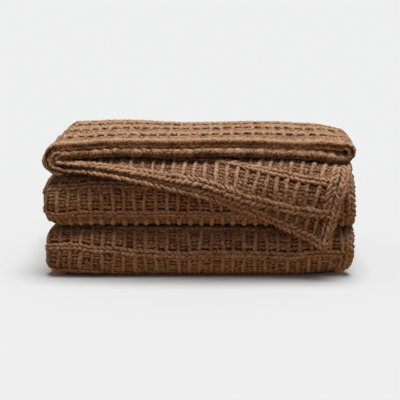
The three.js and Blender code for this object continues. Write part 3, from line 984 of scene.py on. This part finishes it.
# %% Inputs of the tree
knit = bpy.data.node_groups.new("knit_on_folded_cloth", "GeometryNodeTree")
KNIT_INPUTS = {
    "Geometry": "NodeSocketGeometry",
    "Stitch": "NodeSocketObject",
    "Cloth": "NodeSocketObject",
    "Yarn": "NodeSocketMaterial",
    "First Column": "NodeSocketFloat",
    "Columns": "NodeSocketInt",
    "Column Pitch": "NodeSocketFloat",
    "First Row": "NodeSocketFloat",
    "Rows": "NodeSocketInt",
    "Row Pitch": "NodeSocketFloat",
    "Rows In Repeat": "NodeSocketInt",
    "Repeat Pitch": "NodeSocketFloat",
    "Lift": "NodeSocketFloat",
    "Turn": "NodeSocketFloat",
    "Tilt": "NodeSocketFloat",
    "Jitter": "NodeSocketFloat",
    "Wander": "NodeSocketFloat",
    "Lump": "NodeSocketFloat",
    "Drift": "NodeSocketFloat",
    "Least Depth": "NodeSocketFloat",
    "Face": "NodeSocketFloat",
    "Seed": "NodeSocketInt",
}
for name, kind in KNIT_INPUTS.items():
    knit.interface.new_socket(name, in_out="INPUT", socket_type=kind)
knit.interface.new_socket("Geometry", in_out="OUTPUT", socket_type="NodeSocketGeometry")
given = knit.nodes.new("NodeGroupInput").outputs
print("the tree has", len(KNIT_INPUTS), "inputs")

# %% [markdown]
# Helpers for the tree
#
# In Blender's editor nodes are added and wired by hand. In a script each node takes several lines, and the
# wiring hides what is meant. A few helpers let a formula be written nearly as it is read: a value may be a
# plain number or the output of another node.

# %% Helpers that add and wire nodes
def plug(value, slot):
    """Wire an output into a slot, or set the slot to a plain value."""
    if isinstance(value, bpy.types.NodeSocket):
        knit.links.new(value, slot)
    else:
        slot.default_value = value


def add_node(kind, settings=None, **inputs):
    """A node with its settings, and with its inputs wired or set by name."""
    made = knit.nodes.new(kind)
    for name, value in (settings or {}).items():
        setattr(made, name, value)
    for name, value in inputs.items():
        plug(value, made.inputs[name.replace("_", " ")])
    return made


def calc(operation, *values):
    """One Math node."""
    made = knit.nodes.new("ShaderNodeMath")
    made.operation = operation
    for value, slot in zip(values, made.inputs):
        plug(value, slot)
    return made.outputs[0]


def vector(x, y, z):
    """A vector from its three parts."""
    return add_node("ShaderNodeCombineXYZ", X=x, Y=y, Z=z).outputs[0]


def vector_math(operation, first, second):
    """One Vector Math node; to scale, the second value is a number."""
    made = add_node("ShaderNodeVectorMath", {"operation": operation})
    plug(first, made.inputs[0])
    plug(second, made.inputs["Scale"] if operation == "SCALE" else made.inputs[1])
    return made.outputs[0]


print("nodes before the helpers are used:", len(knit.nodes))

# %% [markdown]
# Uneven yarn
#
# Soft yarn is uneven in two ways: it swells and drifts slowly along its length, and each stitch is drawn a
# little tighter or looser than the last. A noise texture changes smoothly from place to place and suits the
# first, and a random value jumps from stitch to stitch and suits the second. The number of its draw is added
# to the seed, so that the draws of one layer differ.

# %% Helpers for smooth and random unevenness
NOISE_MIDDLE = (0.5, 0.5, 0.5)
NOISE_DETAIL = 1.0


def uneven(place, scale, amount):
    """A smooth random shift of points, of about the given amount."""
    noise = add_node("ShaderNodeTexNoise", Vector=place, Scale=scale, Detail=NOISE_DETAIL).outputs["Color"]
    return vector_math("SCALE", vector_math("SUBTRACT", noise, NOISE_MIDDLE), amount)


def random_between(low, high, draw):
    """A random number for each stitch; the number of the draw keeps draws apart."""
    seed = calc("ADD", given["Seed"], draw)
    made = add_node("FunctionNodeRandomValue", {"data_type": "FLOAT"}, Seed=seed)
    sockets = [slot for slot in made.inputs if slot.name in ("Min", "Max") and slot.enabled]
    for value, slot in zip((low, high), sockets):
        plug(value, slot)
    return next(slot for slot in made.outputs if slot.enabled)


print("noise swings about", NOISE_MIDDLE[0], "which is taken off, so that it shifts both ways")

# %% [markdown]
# The lattice of stitches
#
# A knit is a lattice: columns at an even pitch, and rows that come in repeats from one cross row to the
# next. A grid mesh could give the spots, but it has one pitch for all rows. So the tree makes loose points
# and works out each one's column and row from its number. Half a step is added before a number is rounded
# down, so that it never slips by one. Each spot wanders a little, as soft yarn does.

# %% Lattice of stitches on the flat cloth
HALF_STEP = 0.5
WANDER_DRAWS = (4, 5)
spot = add_node("GeometryNodeInputIndex").outputs[0]
column = calc("MODULO", spot, given["Columns"])
row = calc("FLOOR", calc("DIVIDE", calc("ADD", spot, HALF_STEP), given["Columns"]))
repeat = calc("FLOOR", calc("DIVIDE", calc("ADD", row, HALF_STEP), given["Rows In Repeat"]))
row_in_repeat = calc("SUBTRACT", row, calc("MULTIPLY", repeat, given["Rows In Repeat"]))
wander = [calc("MULTIPLY", given["Wander"], random_between(-1.0, 1.0, draw)) for draw in WANDER_DRAWS]
spot_u = calc("ADD", wander[0], calc("MULTIPLY_ADD", column, given["Column Pitch"], given["First Column"]))
repeat_v = calc("MULTIPLY_ADD", repeat, given["Repeat Pitch"], given["First Row"])
spot_v = calc("ADD", wander[1], calc("MULTIPLY_ADD", row_in_repeat, given["Row Pitch"], repeat_v))
lattice = add_node(
    "GeometryNodePoints",
    Count=calc("MULTIPLY", given["Columns"], given["Rows"]),
    Position=vector(spot_u, spot_v, given["Lift"]),
)
print("nodes with the lattice:", len(knit.nodes))

# %% [markdown]
# A stitch on every spot
#
# No two stitches of a soft yarn are alike. Modelling many of each kind would be one way. Here one tube is
# put on every spot, turned and thickened a little at random and given a tone of its own. After the copies
# are made real, a fine noise pushes their points about, which gives each its own lumps.

# %% Place, turn, tone and lumps of a stitch
TURN_DRAW, SIZE_DRAW, TONE_DRAW = 1, 2, 3
SIZE_SPREAD = 0.09
TONE_LOW, TONE_HIGH = 0.0, 1.0
LUMP_SIZE = 280.0
shape = add_node("GeometryNodeObjectInfo", Object=given["Stitch"], As_Instance=True)
turn_back = calc("MULTIPLY", given["Jitter"], -1)
turn = calc("ADD", given["Turn"], random_between(turn_back, given["Jitter"], TURN_DRAW))
thickness = random_between(1 - SIZE_SPREAD, 1 + SIZE_SPREAD, SIZE_DRAW)
placed = add_node(
    "GeometryNodeInstanceOnPoints",
    Points=lattice.outputs[0],
    Instance=shape.outputs["Geometry"],
    Rotation=vector(0, given["Tilt"], turn),
    Scale=vector(1, thickness, thickness),
)
toned = add_node(
    "GeometryNodeStoreNamedAttribute",
    {"data_type": "FLOAT", "domain": "INSTANCE"},
    Geometry=placed.outputs[0],
    Name="tone",
    Value=random_between(TONE_LOW, TONE_HIGH, TONE_DRAW),
)
realized = add_node("GeometryNodeRealizeInstances", Geometry=toned.outputs[0])
place = add_node("GeometryNodeInputPosition").outputs[0]
lumpy = add_node(
    "GeometryNodeSetPosition",
    Geometry=realized.outputs[0],
    Offset=uneven(place, LUMP_SIZE, given["Lump"]),
)
print("nodes with the stitches:", len(knit.nodes))

# %% [markdown]
# Depth in the knit, for painted shade
# Between the stitches a knit is dark, because little light reaches in there. The lamps alone would show only
# some of it, so the rest is painted shade. The height of each point above the flat cloth is stored, while
# the stitches still lie flat and it is easy to read, and the yarn takes its brown from it: painted darker
# the lower a point lies. A floor on that value keeps rolled hems from being painted dark on the side that
# faces down.

# %% Store how deep each point lies, for the painted shade
# Height where the painted shade is darkest, and the rise over which it fades to the palest brown
DEEPEST, DEPTH_RUN = -1.5 * MM, 6 * MM
spot_place = add_node("ShaderNodeSeparateXYZ", Vector=place).outputs
depth = calc("DIVIDE", calc("SUBTRACT", spot_place[2], DEEPEST), DEPTH_RUN)
deep = add_node(
    "GeometryNodeStoreNamedAttribute",
    {"data_type": "FLOAT", "domain": "POINT"},
    Geometry=lumpy.outputs[0],
    Name="depth",
    Value=calc("MAXIMUM", given["Least Depth"], depth),
)
print("nodes with the depth:", len(knit.nodes))

# %% [markdown]
# From the flat cloth to the folds
#
# Now the flat knit is laid on the folded cloth. Copies could be stuck on the folded cloth one by one, but
# each would stay straight and stick out of the bends. Instead every point of the knit looks up its own place
# and normal on the map, so the yarn bends with the cloth. A slow drift keeps rows from being ruled lines,
# and nothing goes below the ground.

# %% Carry the flat stitches to the folded cloth
DRIFT_SIZE = 14.0
flat_place = vector(spot_place[0], spot_place[1], 0)
drifted = vector_math("ADD", flat_place, uneven(flat_place, DRIFT_SIZE, given["Drift"]))
cloth = add_node("GeometryNodeObjectInfo", Object=given["Cloth"]).outputs["Geometry"]


def cloth_value(field):
    """Value of a vector field on the folded cloth at a stitch point's flat place."""
    made = add_node("GeometryNodeSampleUVSurface", {"data_type": "FLOAT_VECTOR"})
    uv_map = add_node("GeometryNodeInputNamedAttribute", {"data_type": "FLOAT_VECTOR"}, Name="flat_cloth")
    plug(cloth, made.inputs["Mesh"])
    plug(field, made.inputs["Value"])
    plug(uv_map.outputs[0], made.inputs["UV Map"])
    plug(drifted, made.inputs["Sample UV"])
    return made.outputs["Value"]


normals = add_node("GeometryNodeInputNamedAttribute", {"data_type": "FLOAT_VECTOR"}, Name="outward")
off_cloth = calc("MULTIPLY", spot_place[2], given["Face"])
height = vector_math("SCALE", cloth_value(normals.outputs[0]), off_cloth)
raised = add_node("ShaderNodeSeparateXYZ", Vector=vector_math("ADD", cloth_value(place), height)).outputs
pressed = vector(raised[0], raised[1], calc("MAXIMUM", raised[2], 0.0))
folded = add_node("GeometryNodeSetPosition", Geometry=deep.outputs[0], Position=pressed)
print("nodes with the folds:", len(knit.nodes))

# %% [markdown]
# The end of the tree
#
# Stitches on the back of the cloth are mirrored through it, which turns their faces inside out. A picture
# would hardly show that, but a mesh that others reuse needs faces that point outwards, so those are flipped.
# Then the yarn is shaded smooth, gets its material, and joins what earlier layers have knitted.

# %% Finish the knitting tree
turned_over = calc("LESS_THAN", given["Face"], 0.0)
outward_faces = add_node("GeometryNodeFlipFaces", Mesh=folded.outputs[0], Selection=turned_over)
soft = add_node("GeometryNodeSetShadeSmooth", Geometry=outward_faces.outputs[0])
yarned = add_node("GeometryNodeSetMaterial", Geometry=soft.outputs[0], Material=given["Yarn"])
joined = add_node("GeometryNodeJoinGeometry")
plug(given["Geometry"], joined.inputs[0])
plug(yarned.outputs[0], joined.inputs[0])
finished = knit.nodes.new("NodeGroupOutput")
plug(joined.outputs[0], finished.inputs[0])
KNIT_SLOTS = {item.name: item.identifier for item in knit.interface.items_tree if item.in_out == "INPUT"}
print("knitting tree has", len(knit.nodes), "nodes")

# %% [markdown]
# Layers of stitches
#
# A piece of knit is built up in layers: bars first, ribs over them, then the cross rows. Each layer is one
# modifier on the piece that runs the tree with other numbers. One tree for each kind of stitch would be
# plainer to read, but every change would then be made many times. The seed follows from the order of pieces
# and layers, so each layer is uneven in its own way and every run gives the same throw.

# %% One layer of stitches
STITCH_JITTER = math.radians(7)
WANDER = 0.6 * MM
LUMP = 4.5 * MM
DRIFT = 9 * MM
SEED_STEP = 31
ANY_DEPTH_SHADE = -9.0
# Rolled hems are painted no darker than this, so the side that faces down is not painted as deep shade
LEAST_DEPTH_SHADE = {DEEP_ROLL: 0.42, TOP_ROLL: 0.55}
knit_pieces = []


def new_piece(name):
    """An empty piece to knit on."""
    piece = bpy.data.objects.new(name, bpy.data.meshes.new(name))
    bpy.context.scene.collection.objects.link(piece)
    return piece


def add_layer(piece, stitch, columns, rows, lift, turn, tilt=0.0, drift=DRIFT, face=1):
    """One layer of stitches; columns is (first, count, pitch), rows (first, count, pitch, in repeat)."""
    modifier = piece.modifiers.new(stitch.name, "NODES")
    modifier.node_group = knit
    values = {
        "Stitch": stitch, "Cloth": cloth_map, "Yarn": YARN,
        "First Column": columns[0], "Columns": columns[1], "Column Pitch": columns[2],
        "First Row": rows[0], "Rows": rows[1], "Row Pitch": rows[2], "Rows In Repeat": rows[3],
        "Repeat Pitch": WELT_PITCH, "Lift": lift, "Turn": turn, "Tilt": tilt,
        "Jitter": STITCH_JITTER, "Wander": WANDER, "Lump": LUMP, "Drift": drift,
        "Least Depth": LEAST_DEPTH_SHADE.get(stitch, ANY_DEPTH_SHADE), "Face": float(face),
        "Seed": SEED_STEP * len(knit_pieces) + len(piece.modifiers),
    }
    for name, value in values.items():
        modifier[KNIT_SLOTS[name]] = value


def cast_off(piece):
    """Make a knitted piece a plain mesh and keep it."""
    knit_pieces.append(plain_mesh(piece))
    print(piece.name, "has", sum(len(face.vertices) - 2 for face in piece.data.polygons), "triangles")


print("a layer has", len(KNIT_SLOTS) - 1, "settings")

# %% [markdown]
# Knitting a patch
#
# A patch is a rectangle of the flat cloth, counted in ribs and in repeats of the cross rows. It has pairs of
# bars between the ribs, the ribs over them, and two rows of leaves for each raised cross row, leaning
# opposite ways so that they read as a braid. Four kinds differ in how the yarn lies: upright on the folds,
# lying on top, hanging on the corner, and pressed where it is hardly seen.

# %% Kinds of knit
RIB_PITCH = 16 * MM
BAR_PAIR_PITCH = 9.9 * MM
BAR_GAP_IN_PAIR = 4.6 * MM
PAIRS_IN_REPEAT = 3

# Where the first bar lies after a cross row, and how far each kind of yarn stands off the cloth.
UPRIGHT = {"bar": BAR, "first_bar": 7.4 * MM, "bar_lift": 1.4 * MM,
           "rib": RIB, "rib_lift": 2.0 * MM, "welt_lift": 2.5 * MM}
LYING = {"bar": FULL_BAR, "first_bar": 5.4 * MM, "bar_lift": 0.4 * MM,
         "rib": RIB, "rib_lift": 1.0 * MM, "welt_lift": 3.6 * MM}
PRESSED = {**UPRIGHT, "bar": PLAIN_BAR}
HANGING = {"bar": SOFT_BAR, "first_bar": 6.2 * MM, "bar_lift": 0.6 * MM,
           "rib": STRONG_RIB, "rib_lift": 1.8 * MM, "welt_lift": 2.7 * MM, "shift": -5 * MM}

# First rib and the rib after the last one, counted from the outer side hem.
OUTER_PLY, LEFT_TURN, TOP_PLY, RIGHT_TURN, INNER_PLY = (1, 27), (27, 30), (30, 56), (56, 58), (85, 111)
print("ribs are", RIB_PITCH, "m apart, with", INNER_PLY[1], "of them across the cloth")

# %% Bars, ribs and cross rows of a patch
RIB_MIDDLE = WELT_PITCH / 2
TIP_BEFORE_WELT, TIP_LIFT = 8 * MM, 2.8 * MM
WELT_HALF = 2.7 * MM
LEAF_LEAN, LEAF_PITCH = math.radians(17), RIB_PITCH / 2
ALONG = math.pi / 2


def knit_patch(name, ribs, repeats, kind=UPRIGHT, face=1):
    """Bars, ribs and cross rows of a patch, from one rib and repeat of the cross rows to another."""
    piece = new_piece(name)
    rib_count, repeat_count = ribs[1] - ribs[0], repeats[1] - repeats[0]
    start = HEM_WIDTH + kind.get("shift", 0.0)
    u, v = ribs[0] * RIB_PITCH, start + repeats[0] * WELT_PITCH
    beside_hem = 1 if ribs is OUTER_PLY else 0
    between = (u + (0.5 - beside_hem) * RIB_PITCH, rib_count + beside_hem, RIB_PITCH)
    for bar in (kind["first_bar"], kind["first_bar"] + BAR_GAP_IN_PAIR):
        bar_rows = (v + bar, repeat_count * PAIRS_IN_REPEAT, BAR_PAIR_PITCH, PAIRS_IN_REPEAT)
        add_layer(piece, kind["bar"], between, bar_rows, kind["bar_lift"], 0.0, face=face)
    on_ribs = (u, rib_count, RIB_PITCH)
    rib_rows = (v + RIB_MIDDLE, repeat_count, 0.0, 1)
    add_layer(piece, kind["rib"], on_ribs, rib_rows, kind["rib_lift"], ALONG, face=face)
    if kind is LYING:
        tips = (v + WELT_PITCH - TIP_BEFORE_WELT, repeat_count, 0.0, 1)
        add_layer(piece, RIB_TIP, on_ribs, tips, TIP_LIFT, ALONG, face=face)
    first_welt = max(repeats[0], 1)
    for side in (-1, 1):
        leaves = (u + side * LEAF_PITCH / 4, 2 * rib_count, LEAF_PITCH)
        welt_v = start + first_welt * WELT_PITCH + side * WELT_HALF
        welts = (welt_v, repeats[1] - first_welt, 0.0, 1)
        add_layer(piece, LEAF, leaves, welts, kind["welt_lift"], side * LEAF_LEAN, face=face)
    cast_off(piece)


def repeats_over(start, end):
    """First and last repeat of the cross rows that cover a stretch of knit length."""
    return math.floor((start - HEM_WIDTH) / WELT_PITCH), math.ceil((end - HEM_WIDTH) / WELT_PITCH)


print("the middle fold takes repeats", repeats_over(MIDDLE_START, MIDDLE_START + FOLD_ARC))

# %% [markdown]
# Patches that show
#
# Only the outside of the stack shows, and knitting the hidden layers as well would cost many more faces. So
# patches cover the top, the front and back folds, the turns at both ends, the underside, the last end and
# the two sheets of the corner. The longer of those two is the lowest ply, and it shows the face that lies
# inside the pack elsewhere.

# %% Knit the patches
ALL_REPEATS = (0, WHOLE_REPEATS)
LAST_END_REPEATS, INNER_CORNER_REPEATS, OUTER_CORNER_REPEATS = 2, 3, 2
PATCHES = {
    "knit_top": (TOP_PLY, (0, repeats_over(0, TOP_KNIT + FOLD_ARC)[1])),
    "knit_middle_front": (OUTER_PLY, repeats_over(MIDDLE_START, MIDDLE_START + FOLD_ARC)),
    "knit_bottom_front": (OUTER_PLY, repeats_over(BOTTOM_START, FIRST_START)),
    "knit_back_fold": (TOP_PLY, repeats_over(BACK_START, BACK_START + FOLD_ARC)),
    "knit_left_turn": (LEFT_TURN, ALL_REPEATS),
    "knit_right_turn": (RIGHT_TURN, ALL_REPEATS),
    "knit_underside": (OUTER_PLY, (repeats_over(FIRST_START, LAST_END)[0] + 1, WHOLE_REPEATS)),
    "knit_last_end": (TOP_PLY, (WHOLE_REPEATS - LAST_END_REPEATS, WHOLE_REPEATS)),
    "knit_inner_corner": (INNER_PLY, (0, INNER_CORNER_REPEATS)),
}
KINDS = {
    "knit_top": LYING,
    "knit_inner_corner": HANGING,
    "knit_underside": PRESSED,
    "knit_last_end": PRESSED,
}
for name, (ribs, repeats) in PATCHES.items():
    knit_patch(name, ribs, repeats, KINDS.get(name, UPRIGHT))
knit_patch("knit_outer_corner", OUTER_PLY, (0, OUTER_CORNER_REPEATS), HANGING, face=-1)

# %% [markdown]
# Lumps under the middle fold
#
# Below the cross row of the middle bundle the knit bends in sharply, and each rib bulges there as a row of
# lumps along the gap. Thicker ribs would bulge everywhere, so one more row of short thick tubes is knitted
# where the bend is.

# %% Lumps where the knit bends sharply under a fold
LUMP_LIFT = 2.6 * MM
LUMP_BELOW_WELT = 21 * MM
lump_columns = (OUTER_PLY[0] * RIB_PITCH, OUTER_PLY[1] - OUTER_PLY[0], RIB_PITCH)
lump_row = (MIDDLE_START + MIDDLE_WELT_ON_FOLD * FOLD_ARC + LUMP_BELOW_WELT, 1, 0.0, 1)
middle_lumps = new_piece("middle_lumps")
add_layer(middle_lumps, FOLD_LUMP, lump_columns, lump_row, LUMP_LIFT, ALONG)
cast_off(middle_lumps)

# %% [markdown]
# Hems
#
# Every edge of the cloth is cast off with a chain of loops that wraps it. A twisted cord along a curve would
# be another way, but rows of leaves from the same tree follow all the folds by themselves. On the two upper
# plies of the open end the hem rolls over, so its leaves are thick and lie along the edge. On the corner and
# along the sides the leaves lean. Each row is a lattice of a single row or column.

# %% Rows of leaves along an end or a side
EDGE_INSET = 2.0 * MM
EDGE_TILT = math.radians(7)
CHAIN_PITCH = 15 * MM
CLOSER_PITCH = {FLAP_LEAF: 8.6 * MM, TOP_ROLL: 12.5 * MM}


def leaves_along(stitch, length):
    """How many leaves of a kind fit along a length."""
    return round(length / CLOSER_PITCH.get(stitch, CHAIN_PITCH))


def end_row_of(piece, stitch, v, first, length, lift, lean, face=1):
    """A row of leaves along one of the cloth's two ends."""
    count = leaves_along(stitch, length)
    columns = (first + length / count / 2, count, length / count)
    add_layer(piece, stitch, columns, (v, 1, 0.0, 1), lift, lean, EDGE_TILT, drift=0.0, face=face)


def side_row_of(piece, stitch, u, first, length, lift, lean, face=1):
    """A row of leaves along one of the cloth's two sides."""
    count = leaves_along(stitch, length)
    rows = (first + length / count / 2, count, length / count, count)
    add_layer(piece, stitch, (u, 1, 0.0), rows, lift, ALONG + lean, EDGE_TILT, drift=0.0, face=face)


print("along the last end there is room for", leaves_along(EDGE_LEAF, CLOTH_WIDTH), "leaves")

# %% Hems of the open end
TURN_OVERLAP = 3 * MM
OPEN_LEAN, FLAP_LEAN = math.radians(12), math.radians(24)
CHAIN_LIFT, FLAP_LIFT = 3.0 * MM, 1.5 * MM
TOP_ROLL_LIFT, UNDER_ROLL_LIFT, DEEP_ROLL_LIFT = 1.9 * MM, 3.2 * MM, -1.8 * MM

# Rows of each stretch: the stitch, its lift and the face of the cloth. Turns are wrapped on both faces.
CHAIN = ((EDGE_LEAF, CHAIN_LIFT, 1), (EDGE_LEAF, CHAIN_LIFT, -1))
OPEN_SPANS = {
    "outer": ((FLAP_LEAF, FLAP_LIFT, -1),),
    "left_turn": CHAIN,
    "top": ((TOP_ROLL, TOP_ROLL_LIFT, 1), (EDGE_LEAF, UNDER_ROLL_LIFT, -1)),
    "right_turn": CHAIN,
    "upper_inner": ((DEEP_ROLL, DEEP_ROLL_LIFT, -1),),
    "inner_turn": CHAIN,
    "inner": ((FLAP_LEAF, FLAP_LIFT, 1),),
}
span_ends = [0.0, *STRETCH_ENDS]
for first, last, (name, strands) in zip(span_ends, span_ends[1:], OPEN_SPANS.items()):
    piece = new_piece(f"hem_open_{name}")
    grow = TURN_OVERLAP if strands is CHAIN else 0.0
    for strand, lift, face in strands:
        span = (first - grow, last - first + 2 * grow)
        lean = FLAP_LEAN if strand is FLAP_LEAF else OPEN_LEAN
        end_row_of(piece, strand, EDGE_INSET, *span, lift, lean, face=face)
    cast_off(piece)

# %% Hems of the last end and of the two sides
EDGE_LIFT = 2.0 * MM


def edge_chain(name, row_of_leaves, stitch, edge, inward, length, lean=0.0):
    """A chain of leaves that wraps an edge on both faces of the cloth."""
    piece = new_piece(name)
    for face in (-1, 1):
        row_of_leaves(piece, stitch, edge + inward * EDGE_INSET, 0.0, length, EDGE_LIFT, lean, face=face)
    cast_off(piece)


edge_chain("hem_last_end", end_row_of, EDGE_LEAF, LAST_END, -1, CLOTH_WIDTH)
edge_chain("hem_outer_side", side_row_of, FLAP_LEAF, 0.0, 1, LAST_END, FLAP_LEAN)
edge_chain("hem_inner_side", side_row_of, FLAP_LEAF, CLOTH_WIDTH, -1, LAST_END, FLAP_LEAN)

# %% [markdown]
# Braids beside the edges
#
# Inside its edge each hem has more rows of leaves. On the upper plies and the last end two rows lean
# opposite ways, as a braid of their own. On the corner and the sides one row leans against the row at the
# edge, and those two read as the braid. Wider leaves with a bump would be cheaper, but they would look flat
# from the side.

# %% Braids of the ends
BRAID_LIFT = 2.0 * MM
NEAR_INSET, FAR_INSET, FLAP_INSET = 6.8 * MM, 12.0 * MM, 8.2 * MM
BRAID_ROWS = {NEAR_INSET: LEAF_LEAN, FAR_INSET: -LEAF_LEAN}
FLAP_BRAID = {FLAP_INSET: -FLAP_LEAN}
PLY_LENGTH = OUTER_PLY[1] * RIB_PITCH


def end_braid(piece, first, length, leaf=EDGE_LEAF, rows=BRAID_ROWS, edge=0.0, face=1):
    """Rows of leaves beside one of the cloth's two ends, over a length of it."""
    for inset, lean in rows.items():
        end_row_of(piece, leaf, abs(edge - inset), first, length, BRAID_LIFT, lean, face=face)


hem_top = new_piece("hem_top")
end_braid(hem_top, STRETCH_ENDS[0], STRETCH_ENDS[3] - STRETCH_ENDS[0])
cast_off(hem_top)

hem_last_face = new_piece("hem_last_face")
end_braid(hem_last_face, 0.0, STRETCH_ENDS[3], edge=LAST_END)
cast_off(hem_last_face)

hem_upper_inner = new_piece("hem_upper_inner")
end_braid(hem_upper_inner, STRETCH_ENDS[3], PLY_LENGTH, face=-1)
cast_off(hem_upper_inner)

# %% Braids of the corner and of the outer side
CORNER_LENGTH = INNER_CORNER_REPEATS * WELT_PITCH


def side_braid(piece, u, length, face=1):
    """A row of leaves beside a side hem, over a length from the open end."""
    side_row_of(piece, FLAP_LEAF, u, FLAP_INSET, length, BRAID_LIFT, -FLAP_LEAN, face=face)


hem_inner_corner = new_piece("hem_inner_corner")
end_braid(hem_inner_corner, CLOTH_WIDTH - PLY_LENGTH, PLY_LENGTH, FLAP_LEAF, FLAP_BRAID)
side_braid(hem_inner_corner, CLOTH_WIDTH - FLAP_INSET, CORNER_LENGTH)
cast_off(hem_inner_corner)

hem_outer_corner = new_piece("hem_outer_corner")
end_braid(hem_outer_corner, 0.0, PLY_LENGTH, FLAP_LEAF, FLAP_BRAID, face=-1)
side_braid(hem_outer_corner, FLAP_INSET, CORNER_LENGTH, face=-1)
cast_off(hem_outer_corner)

hem_outer_side_face = new_piece("hem_outer_side_face")
side_braid(hem_outer_side_face, FLAP_INSET, LAST_END - FLAP_INSET)
cast_off(hem_outer_side_face)

# %% [markdown]
# The finished throw
#
# The map and the single stitches have done their work and leave the scene; hiding them would be enough for a
# picture, but they would still count as pieces. Then every piece is tied to the one body of the stack, and
# the cloth stands in for the plain solid, which is hidden.

# %% Keep the helpers out of the finished scene
helpers = [cloth_map, *stitch_shapes]
for helper in helpers:
    bpy.data.objects.remove(helper)
print(len(helpers), "helpers removed")

# %% Tie the pieces to the stack's body
for piece in [throw_cloth] + knit_pieces:
    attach(piece, "root")
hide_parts("throw")
print(1 + len(knit_pieces), "pieces handed over")
